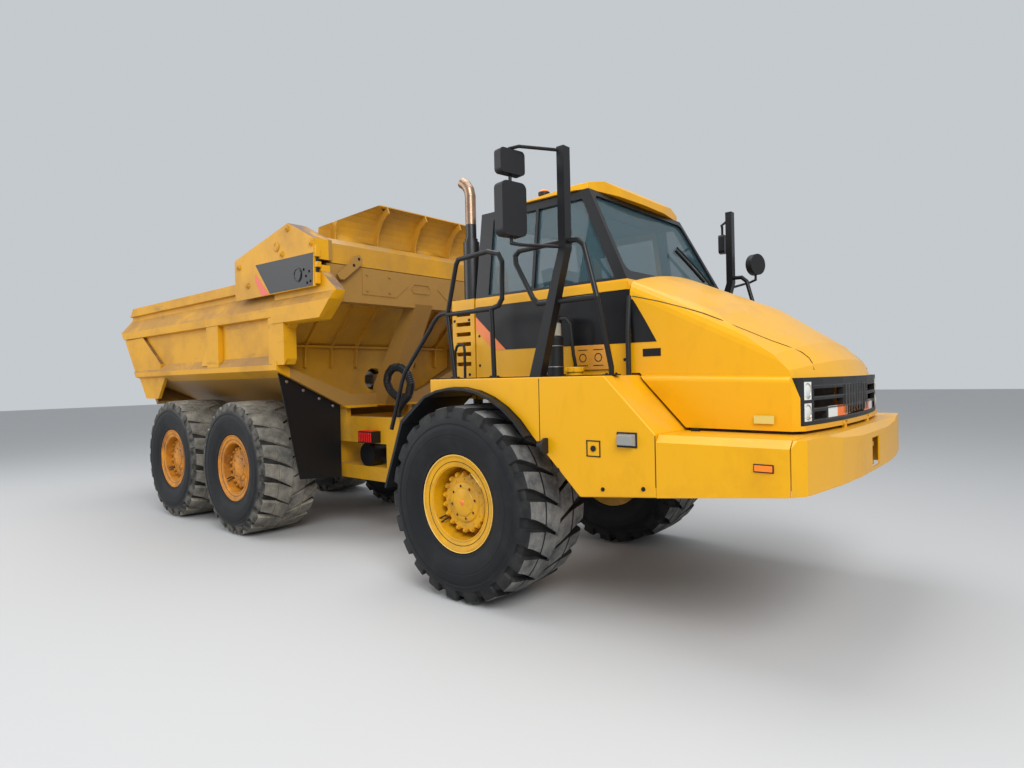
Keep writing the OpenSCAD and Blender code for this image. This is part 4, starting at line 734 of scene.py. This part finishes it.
def cab_trim():
    wiper = Shape()
    pivot, arm, blade, rubber = ([glass_point(*p) for p in points] for points in
                                 (WIPER_PIVOT, WIPER_ARM, WIPER_BLADE, WIPER_RUBBER))
    wiper.rod(*pivot, 0.022, 14)
    wiper.tube(arm, 0.009, 8)
    wiper.tube(blade, 0.008, 6)
    wiper.slab(rubber, (0, 0.003, 0.003))
    wiper.done("wiper", SATIN, "tractor", "black_plastic")
    roof = Shape()
    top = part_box("cab_roof")[1][2]
    roof.rod((FX + 0.30, -0.62, top - 0.045), (FX + 0.30, -0.62, top - 0.022), 0.050, 20, mat=1)
    roof.dome((FX + 0.30, -0.62, top - 0.022), (0, 0, 1), 0.046, 0.026, 20, 5)
    roof.done("roof_marker", [AMBER, SATIN], "tractor", "black_plastic")
    inside = Shape()
    inside.box((FX + 0.63, -0.52, 2.80), (FX + 0.69, -0.28, 2.95))
    inside.tube([(FX + 0.68, -0.40, 2.80), (FX + 0.74, -0.40, 2.70), (FX + 0.86, -0.40, 2.55)], 0.014, 10)
    inside.done("monitor", SATIN, "tractor", "black_plastic", bevel=0.006)
    side = Shape()
    for x, z in ((-0.364, 2.314), (-0.369, 1.823), (-0.55, 2.314), (-0.55, 1.823)):
        side.nut((FX + x, -CAB_Y - 0.0003, z), (0, -1, 0), 0.010, 0.008)
    for x, z in ((-0.24, 2.16), (-0.24, 1.90), (1.23, 1.90), (0.45, 1.86), (0.86, 1.86)):
        side.nut((FX + x, -CAB_Y - 0.0005, z), (0, -1, 0), 0.009, 0.006)
    both = side.mirrored()
    side.merge(both).done("cab_bolts", BLACK, "tractor", "black_paint")
    loop = Shape()
    bend = ((-0.45, DECK_Z), (-0.447, 2.03), (-0.424, 2.075), (-0.39, 2.092), (-0.352, 2.092),
            (-0.336, 2.072), (-0.330, 2.03), (-0.330, DECK_Z))
    loop.tube([(FX + x, -1.0, z) for x, z in bend], 0.012, 10)
    loop.done("cowl_loop", BLACK, "tractor", "black_paint")


# Fender decks: filter bottle, filler cap, vent cover, corner tube, mats and rail feet
CAP_GRIPS = 6
MAT_RIBS = 40


def deck_items():
    bottle = Shape()
    x, y = FX + 0.705, -1.05
    bottle.rod((x, y, DECK_Z), (x, y, DECK_Z + 0.020), 0.080, 24, mat=1)
    bottle.rod((x, y, DECK_Z + 0.020), (x, y, 2.080), 0.064, 24, mat=1)
    bottle.rod((x, y, 2.080), (x, y, 2.100), 0.064, 24, 0.052, mat=1)
    bottle.rod((x, y, 2.100), (x, y, 2.200), 0.050, 24)
    bottle.rod((x, y, 2.200), (x, y, 2.250), 0.056, 24, 0.048, mat=1)
    bottle.tube([(x + 0.05, y, 2.225), (x + 0.11, y, 2.222), (x + 0.14, y + 0.01, 2.18),
                 (x + 0.15, y + 0.03, 1.95), (x + 0.15, y + 0.08, DECK_Z + 0.01)], 0.013, 10, 1)
    bottle.tube([(x - 0.05, y, 1.90), (x - 0.11, y, 1.89), (x - 0.13, y, 1.85),
                 (x - 0.14, y, DECK_Z + 0.01)], 0.011, 10, 1)
    for z in (1.86, 2.02):
        bottle.ring((x, y, z), (0, 0, 1), 0.064, 0.004, 28, 6, 2)
    bottle.done("filter_bottle", [RESERVOIR, SATIN, STEEL], "tractor", "black_plastic")
    cap = Shape()
    cap.rod((FX + 0.955, -1.15, DECK_Z), (FX + 0.955, -1.15, DECK_Z + 0.030), 0.060, 24)
    cap.rod((FX + 0.955, -1.15, DECK_Z + 0.030), (FX + 0.955, -1.15, DECK_Z + 0.068), 0.070, 24)
    for i in range(CAP_GRIPS):
        a = math.tau * i / CAP_GRIPS
        cap.box((FX + 0.948 + 0.068 * math.cos(a), -1.157 + 0.068 * math.sin(a), DECK_Z + 0.032),
                (FX + 0.962 + 0.068 * math.cos(a), -1.143 + 0.068 * math.sin(a), DECK_Z + 0.066))
    cap.done("filler_cap", YELLOW, "tractor", "yellow_paint", bevel=0.003)
    cover = Shape()
    x0, x1, z0, z1 = FX + 0.785, FX + 1.105, 1.832, 2.018
    cover.box((x0, -CAB_Y, z0), (x1, -CAB_Y - 0.016, z1))
    for x in (x0 + 0.085, x0 + 0.225):
        cover.ring((x, -CAB_Y - 0.016, z0 + 0.093), (0, 1, 0), 0.030, 0.004, 24, 6, 1)
        cover.box((x - 0.045, -CAB_Y - 0.015, z0 + 0.030), (x + 0.045, -CAB_Y - 0.019, z0 + 0.036), 1)
        cover.box((x - 0.045, -CAB_Y - 0.015, z1 - 0.036), (x + 0.045, -CAB_Y - 0.019, z1 - 0.030), 1)
    cover.done("vent_cover", [VENT, BLACK], "tractor", "yellow_paint", bevel=0.002)
    pipe = Shape()
    x = HOOD_X0 - 0.0075
    pipe.tube([(x, -0.955, DECK_Z), (x, -0.955, 2.10), (x, -0.945, 2.20), (x, -0.925, 2.36)], 0.019, 12)
    pipe.done("corner_tube", SATIN, "tractor", "black_plastic")
    mat = Shape()
    mat.box((FX - 0.42, -1.315, DECK_Z), (FX + 1.20, -0.925, DECK_Z + 0.004))
    for i in range(MAT_RIBS):
        x = FX - 0.40 + i * 0.04
        mat.box((x, -1.305, DECK_Z + 0.004), (x + 0.012, -0.935, DECK_Z + 0.008))
    mat.box((FX - 0.42, 0.925, DECK_Z), (FX + 1.20, 1.315, DECK_Z + 0.004))
    mat.done("deck_mats", SATIN, "tractor", "black_plastic")
    feet = Shape()
    spots = ((-0.114, -1.33), (0.320, -1.33), (1.335, -1.258), (-0.33, 1.33), (-0.17, 1.33), (1.335, 1.258))
    for x, y in spots:
        feet.box((FX + x - 0.055, y - 0.032, DECK_Z), (FX + x + 0.055, y + 0.032, DECK_Z + 0.010))
        for dx in (-0.038, 0.038):
            feet.nut((FX + x + dx, y, DECK_Z + 0.010), (0, 0, 1), 0.009, 0.010)
    feet.done("rail_feet", BLACK, "tractor", "black_paint")


# Fender sides and the bumper: seams, bolts, latch, knob and marker lamps
def fender_items():
    seam = Shape()
    for side in SIDES:
        y = side * FENDER_Y
        seam.box((FX + 0.8105, y, 1.31), (FX + 0.8155, y + side * 0.0015, DECK_Z - 0.012))
        seam.box((FX + 1.728, y, 1.075), (FX + 1.733, y + side * 0.0015, 1.400))
        for x, z in ((0.968, 1.129), (1.338, 1.027), (1.641, 1.058)):
            seam.nut((FX + x, y, z), (0, side, 0), 0.011, 0.010)
    y = -FENDER_Y
    latch = ((1.215, 1.222, 1.24, 1.351), (1.318, 1.325, 1.24, 1.351), (1.215, 1.325, 1.24, 1.247),
             (1.215, 1.325, 1.344, 1.351))
    for x0, x1, z0, z1 in latch:
        seam.box((FX + x0, y, z0), (FX + x1, y - 0.004, z1))
    seam.rod((FX + 1.27, y, 1.296), (FX + 1.27, y - 0.008, 1.296), 0.020, 16)
    seam.done("fender_bolts", BLACK, "tractor", "black_paint")
    knob = Shape()
    knob.box((FX + 0.80, -FENDER_Y, 1.265), (FX + 0.83, -FENDER_Y - 0.020, 1.325))
    knob.rod((FX + 0.81, -FENDER_Y - 0.022, 1.295), (FX + 0.868, -FENDER_Y - 0.022, 1.295), 0.022, 16)
    knob.rod((FX + 0.868, -FENDER_Y - 0.022, 1.295), (FX + 0.888, -FENDER_Y - 0.022, 1.295), 0.058, 24)
    knob.done("knob", SATIN, "tractor", "black_plastic", bevel=0.003)
    lamp = Shape()
    outer = [(1.465, 1.326), (1.595, 1.326), (1.595, 1.406), (1.465, 1.406)]
    inner = [(1.477, 1.335), (1.583, 1.335), (1.583, 1.397), (1.477, 1.397)]
    verts = [(FX + x, y, z) for x, z in outer] + [(FX + x, y - 0.045, z) for x, z in inner]
    faces = [(3, 2, 1, 0), (4, 5, 6, 7)] + [(i, (i + 1) % 4, (i + 1) % 4 + 4, i + 4) for i in range(4)]
    lamp.add(verts, faces)
    lamp.box((FX + 1.455, y, 1.316), (FX + 1.605, y - 0.006, 1.416), 1)
    lamp.done("side_markers", [MARKER_GREY, SATIN], "tractor", "lamp_lens", bevel=0.004)
    front = Shape()
    for side in SIDES:
        y = side * FENDER_Y
        front.box((FX + 2.347, y, 1.229), (FX + 2.446, y + side * 0.012, 1.263))
        front.box((FX + 2.340, y, 1.222), (FX + 2.453, y + side * 0.004, 1.270), 1)
    front.done("bumper_markers", [AMBER, SATIN], "tractor", "lamp_lens", bevel=0.002)


# Black pipe that slopes down beside the right fender, and the cables behind the cab
def side_pipes():
    pipe = Shape()
    path = [(-0.184, 2.335), (-0.255, 2.331), (-0.302, 2.317), (-0.350, 2.280), (-0.413, 2.208),
            (-0.754, 1.851), (-0.800, 1.760), (-0.882, 1.540), (-0.960, 1.342)]
    pipe.tube([(FX + x, -1.330, z) for x, z in path], 0.019, 14)
    pipe.done("sloping_pipe", BLACK, "tractor", "black_paint")
    bundle = Shape()
    x0 = FX - 0.585
    for i, (dy, dz) in enumerate(((0, 0), (0.05, 0.03), (0.10, -0.02), (-0.05, -0.03))):
        bundle.tube([(x0, -0.52 + dy, 2.20 + dz), (x0 - 0.06, -0.51 + dy, 2.19 + dz),
                     (x0 - 0.12, -0.50 + dy, 2.12 + dz), (x0 - 0.15, -0.47 + dy, 1.95),
                     (x0 - 0.15, -0.44 + dy * 0.7, 1.70), (x0 - 0.16, -0.42 + dy * 0.5, 1.45),
                     (x0 - 0.165, -0.40 + dy * 0.5, 1.24)], 0.018, 10, i % 2)
    bundle.done("cable_bundle", [HOSE, SATIN], "tractor", "hose_rubber")


# Hood: seam along the side panel's top edge, latch, grille trim and lamp rings
HOOD_SEAM = [(1.322, 0.931, 2.355), (1.526, 0.935, 2.299), (1.690, 0.933, 2.246), (1.850, 0.929, 2.189),
             (1.969, 0.931, 2.136), (2.073, 0.913, 2.082), (2.169, 0.861, 2.031), (2.254, 0.817, 1.986),
             (2.338, 0.752, 1.945), (2.403, 0.685, 1.905), (2.441, 0.673, 1.868), (2.465, 0.696, 1.837),
             (2.483, 0.723, 1.791)]
LAMP_Y = 0.913
# The grille's front in plan: distance from the middle, and X from its foremost point
GRILLE_X = FX + 2.575
GRILLE_PLAN = ((0.0, 0.0), (0.35, -0.005), (0.70, -0.035), (0.98, -0.075))
GRILLE_YS = (-0.85, -0.70, -0.35, 0.0, 0.35, 0.70, 0.85)
GRILLE_BARS = 4
GRILLE_POSTS = 9


def front_x(y, depth):
    """X of the grille's front at a Y, less a depth."""
    y = abs(y)
    (y0, x0), (y1, x1) = next(ends for ends in zip(GRILLE_PLAN, GRILLE_PLAN[1:]) if y <= ends[1][0])
    return GRILLE_X + x0 + (x1 - x0) * (y - y0) / (y1 - y0) - depth


def hood_trim():
    seam = Shape()
    for side in SIDES:
        seam.tube([(FX + x, side * (y + 0.0005), z) for x, y, z in HOOD_SEAM], 0.0035, 6)
        y = hood_y(FX + 1.83) + 0.066
        seam.box((FX + 1.800, side * y, 1.375), (FX + 1.860, side * (y + 0.012), 1.425))
    seam.done("hood_seams", BLACK, "hood", "black_paint")
    grille = Shape()
    for i in range(GRILLE_BARS):
        top = 1.487 + i * 0.071
        for y0, y1 in zip(GRILLE_YS, GRILLE_YS[1:]):
            x0, x1 = front_x(y0, 0.010), front_x(y1, 0.010)
            low, high = top - 0.009, top - 0.002
            grille.slab([(x0, y0, low), (x1, y1, low), (x1, y1, high), (x0, y0, high)], (0.0025, 0, 0))
    for i in range(GRILLE_POSTS):
        y = -0.30 + i * 0.075
        grille.box((front_x(0, 0.012), y, 1.500), (front_x(0, 0.007), y + 0.012, 1.700))
    grille.done("grille_edges", IRON, "hood", "bare_steel")
    lamp = Shape()
    for z in (1.535, 1.665):
        lamp.ring((0, 0, z), (1, 0, 0), 0.044, 0.004, 32, 6)
        lamp.dome((-0.004, 0, z), (1, 0, 0), 0.040, 0.014, 20, 5, 1)
    rings = Shape()
    for side in SIDES:
        y = side * LAMP_Y
        turn = Matrix.Rotation(side * math.radians(16), 3, "Z")
        squash = Matrix.Diagonal((1, 0.80, 1))
        one = Shape().merge(lamp)
        one.verts = [turn @ squash @ v + Vector((front_x(y, 0.012), y, 0)) for v in lamp.verts]
        rings.merge(one)
    rings.done("lamp_rings", [BRIGHT, CLEAR], "hood", "bright_steel")


# Mirror glass on the rear faces of the heads
def mirror_glass():
    for name, at, angle, depth, wide, tall in (
        ("tall", (FX + 0.790, -1.640, 2.945), -10, 0.0453, 0.170, 0.320),
        ("square", (FX + 0.790, -1.640, 3.270), -10, 0.0353, 0.170, 0.125),
        ("far_small", (FX + 1.010, 1.480, 3.120), 10, 0.0303, 0.085, 0.150),
    ):
        shape = Shape()
        shape.box((-depth - 0.002, -wide / 2, -tall / 2), (-depth, wide / 2, tall / 2))
        shape.turned(angle).done(f"mirror_glass_{name}", MIRROR, "tractor", "bright_steel", at)
    shape = Shape()
    shape.rod((-0.0353, 0, 0), (-0.0373, 0, 0), 0.092, 32)
    at = (FX + 1.288, 1.641, 2.894)
    shape.turned(-20).done("mirror_glass_round", MIRROR, "tractor", "bright_steel", at)


# Carriages of the blade: black and red bands on the outer plate, front guides and bolts
CARRIAGE_BLACK = [(-0.273, 3.100), (0.885, 3.077), (0.865, 2.750), (0.026, 2.752)]
CARRIAGE_RED = [(-0.287, 3.005), (0.011, 2.750), (-0.154, 2.753), (-0.283, 2.926)]


def carriage_trim():
    black = Shape()
    for side in SIDES:
        y = side * (CARRIAGE_Y + OFF)
        black.slab([(BX + x, y, z) for x, z in CARRIAGE_BLACK], (0, side * SKIN, 0))
        black.slab([(BX + x, y, z) for x, z in CARRIAGE_RED], (0, side * SKIN, 0), 1)
        black.rod((BX + 0.596, y, 2.887), (BX + 0.596, y + side * 0.008, 2.887), 0.075, 28)
        black.ring((BX + 0.596, y + side * 0.008, 2.887), (0, 1, 0), 0.062, 0.006, 32, 6)
        for x, z in ((0.70, 2.93), (0.74, 2.86), (0.80, 2.90), (0.82, 2.80), (0.76, 2.79)):
            black.nut((BX + x, y + side * SKIN, z), (0, side, 0), 0.012, 0.010)
    black.done("carriage_bands", [DECAL, STRIPE_RED], "blade", "black_paint")
    guide = Shape()
    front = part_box("carriages")[1][0]
    for side in SIDES:
        for z0, z1, out in ((3.035, 3.150, 0.030), (2.930, 2.985, 0.045), (2.765, 2.880, 0.030)):
            guide.box((front, side * 1.405, z0), (front + out, side * 1.458, z1))
        guide.box((front, side * 1.415, 2.985), (front + 0.018, side * 1.445, 3.035), 1)
        guide.box((front, side * 1.415, 2.880), (front + 0.018, side * 1.445, 2.930), 1)
    guide.done("carriage_guides", [BODY_YELLOW, SATIN], "blade", "yellow_paint", bevel=0.005)
    bolts = Shape()
    for side in SIDES:
        y = side * (CARRIAGE_Y + 0.0003)
        for x, z in ((0.408, 3.390), (0.852, 3.175), (0.295, 3.140), (-0.655, 3.120), (-0.456, 2.890)):
            bolts.nut((BX + x, side * (CARRIAGE_Y + 0.014), z), (0, side, 0), 0.018, 0.016)
        bolts.rod((BX + 0.19, y, 3.235), (BX + 0.19, y + side * 0.010, 3.235), 0.052, 28)
        bolts.ring((BX + 0.19, y + side * 0.010, 3.235), (0, 1, 0), 0.036, 0.006, 28, 6)
    bolts.done("carriage_bolts", BLADE_YELLOW, "blade", "yellow_paint")


# Head frame: fishtail plates and a slot outline on the beam's front, latch ears at its ends
def beam_trim():
    front = BX + 0.850
    face = Shape()
    for side in SIDES:
        tail = [(0.430, 2.975), (0.225, 2.857), (0.406, 2.712), (0.860, 2.715), (0.860, 2.975)]
        face.slab([(front + OFF, side * y, z) for y, z in tail], (0.006, 0, 0))
        for y, z in ((0.80, 2.93), (0.80, 2.76), (0.50, 2.93), (0.50, 2.76)):
            face.nut((front + 0.006, side * y, z), (1, 0, 0), 0.013, 0.012)
    outline = [(-0.150, 2.79), (0.080, 2.79), (0.110, 2.84), (0.080, 2.89), (-0.150, 2.89), (-0.180, 2.84),
               (-0.150, 2.79)]
    face.tube([(front + 0.002, y, z) for y, z in outline], 0.006, 8)
    for side in SIDES:
        ear = [(1.205, 2.885), (1.170, 2.835), (1.120, 2.840), (0.900, 3.020), (0.885, 3.075),
               (0.925, 3.120), (0.985, 3.100), (1.020, 3.040)]
        face.slab([(front + 0.030, side * y, z) for y, z in ear], (0.028, 0, 0))
        face.box((front, side * 1.06, 2.87), (front + 0.031, side * 1.15, 2.93))
        # Two near-black discs on each ear are painted shade for its holes
        for y, z in ((0.935, 3.072), (1.000, 3.000)):
            face.rod((front + 0.0582, side * y, z), (front + 0.0590, side * y, z), 0.017, 16, mat=1)
    face.done("beam_plates", [BODY_YELLOW, EAR_HOLE_SHADE], "rear", "yellow_paint", bevel=0.002)


# Rear half: gussets of the load body, ribs of the valve cover, tail lamps and bolts of the mudguards
COVER_RIBS = 7


def body_trim():
    gusset = Shape()
    rib = BX - 1.600
    for side in SIDES:
        y = side * 1.430
        gusset.slab([(rib - 0.002, y, 2.02), (rib - 0.180, y, 2.02), (rib - 0.002, side * 1.405, 2.30)],
                    (0, side * 0.012, 0))
    gusset.done("body_gussets", BODY_YELLOW, "rear", "yellow_paint")
    cover = Shape()
    x0, y, z0, z1 = BX + 0.400, -0.640, 1.085, 1.215
    for i in range(COVER_RIBS):
        x = x0 + 0.02 + i * 0.035
        cover.box((x, y, z0 + 0.012), (x + 0.016, y - 0.010, z1 - 0.012))
        cover.box((x, y - 0.0005, z1), (x + 0.016, y + 0.10, z1 + 0.008))
    cover.done("valve_cover_ribs", RED, "rear", "yellow_paint", bevel=0.002)
    lamps = Shape()
    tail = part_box("rear_frame")[0][0]
    for side in SIDES:
        lamps.box((tail, side * 0.425, 1.13), (tail - 0.030, side * 0.515, 1.33), 1)
        lamps.box((tail - 0.030, side * 0.435, 1.14), (tail - 0.042, side * 0.505, 1.225))
        lamps.box((tail - 0.030, side * 0.435, 1.235), (tail - 0.042, side * 0.505, 1.32), 2)
    lamps.done("tail_lamps", [RED, SATIN, AMBER], "rear", "lamp_lens", bevel=0.003)
    fold = Shape()
    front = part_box("mudguards")[1][0]
    for side in SIDES:
        for y in (0.72, 0.90, 1.10, 1.30):
            z = 1.450 + (y - 0.555) * 0.508
            fold.nut((front, side * y, z - 0.030), (1, 0, 0), 0.013, 0.010)
    fold.done("mudguard_bolts", STEEL, "rear", "bare_steel")


# Wrap of the hose, as close rings along its path
WRAP_STEP = 0.024


def hose_rings():
    x = FX - 2.010
    path = [Vector(p) for p in (
        (x, -0.400, 1.37), (x, -0.400, 1.43), (x + 0.02, -0.400, 1.47), (x + 0.09, -0.400, 1.54),
        (x + 0.20, -0.405, 1.62), (x + 0.26, -0.420, 1.74), (x + 0.23, -0.440, 1.86),
        (x + 0.13, -0.460, 1.93), (x + 0.02, -0.470, 1.93), (x - 0.07, -0.470, 1.86),
        (x - 0.11, -0.460, 1.77), (x - 0.10, -0.430, 1.68), (x - 0.06, -0.380, 1.61),
        (x - 0.06, -0.300, 1.59), (x - 0.06, -0.220, 1.59))]
    wrap = Shape()
    left = WRAP_STEP
    for a, b in zip(path, path[1:]):
        along = b - a
        while left < along.length:
            at = a + along.normalized() * left
            wrap.ring(at, along, 0.039, 0.008, 18, 6)
            left += WRAP_STEP
        left -= along.length
    wrap.done("hose_wrap", HOSE, "rear", "hose_rubber")


cab_trim()
deck_items()
fender_items()
side_pipes()
hood_trim()
mirror_glass()
carriage_trim()
beam_trim()
body_trim()
hose_rings()


# Floor, light and camera
def stage():
    bpy.ops.mesh.primitive_plane_add(size=120, location=(0, 0, 0))
    floor = bpy.context.object
    floor.name = "floor"
    floor.data.materials.append(FLOOR)


def lights():
    world = bpy.data.worlds.new("sky")
    bpy.context.scene.world = world
    world.use_nodes = True
    back = world.node_tree.nodes["Background"]
    back.inputs["Color"].default_value = (0.90, 0.95, 1.0, 1)
    back.inputs["Strength"].default_value = 0.62
    for name, at, size, power in (
        ("key", (10.0, -7.0, 8.5), 6.0, 1150),
        ("fill", (-8.0, -9.0, 6.0), 8.0, 500),
        ("top", (0.0, 0.0, 11.0), 9.0, 700),
    ):
        lamp = bpy.data.lights.new(name, "AREA")
        lamp.size = size
        lamp.energy = power
        obj = bpy.data.objects.new(name, lamp)
        obj.location = at
        obj.rotation_euler = (Vector((0, 0, 1.2)) - Vector(at)).to_track_quat("-Z", "Y").to_euler()
        bpy.context.scene.collection.objects.link(obj)


def camera():
    yaw, pitch, roll = (math.radians(a) for a in (40.76, -0.54, -1.29))
    ahead = Vector((-math.sin(yaw) * math.cos(pitch), math.cos(yaw) * math.cos(pitch), math.sin(pitch)))
    right = Vector((math.cos(yaw), math.sin(yaw), 0))
    up = right.cross(ahead)
    level = right * math.cos(roll) + up * math.sin(roll)
    tall = up * math.cos(roll) - right * math.sin(roll)
    data = bpy.data.cameras.new("camera")
    data.lens = 22.34
    data.sensor_width = 36
    data.sensor_fit = "HORIZONTAL"
    obj = bpy.data.objects.new("camera", data)
    turn = Matrix((level, tall, -ahead)).transposed().to_4x4()
    obj.matrix_world = Matrix.Translation((FX + 3.652, -4.988, 1.783)) @ turn
    bpy.context.scene.collection.objects.link(obj)
    bpy.context.scene.camera = obj


stage()
lights()
camera()
bpy.context.scene.view_settings.view_transform = "Standard"
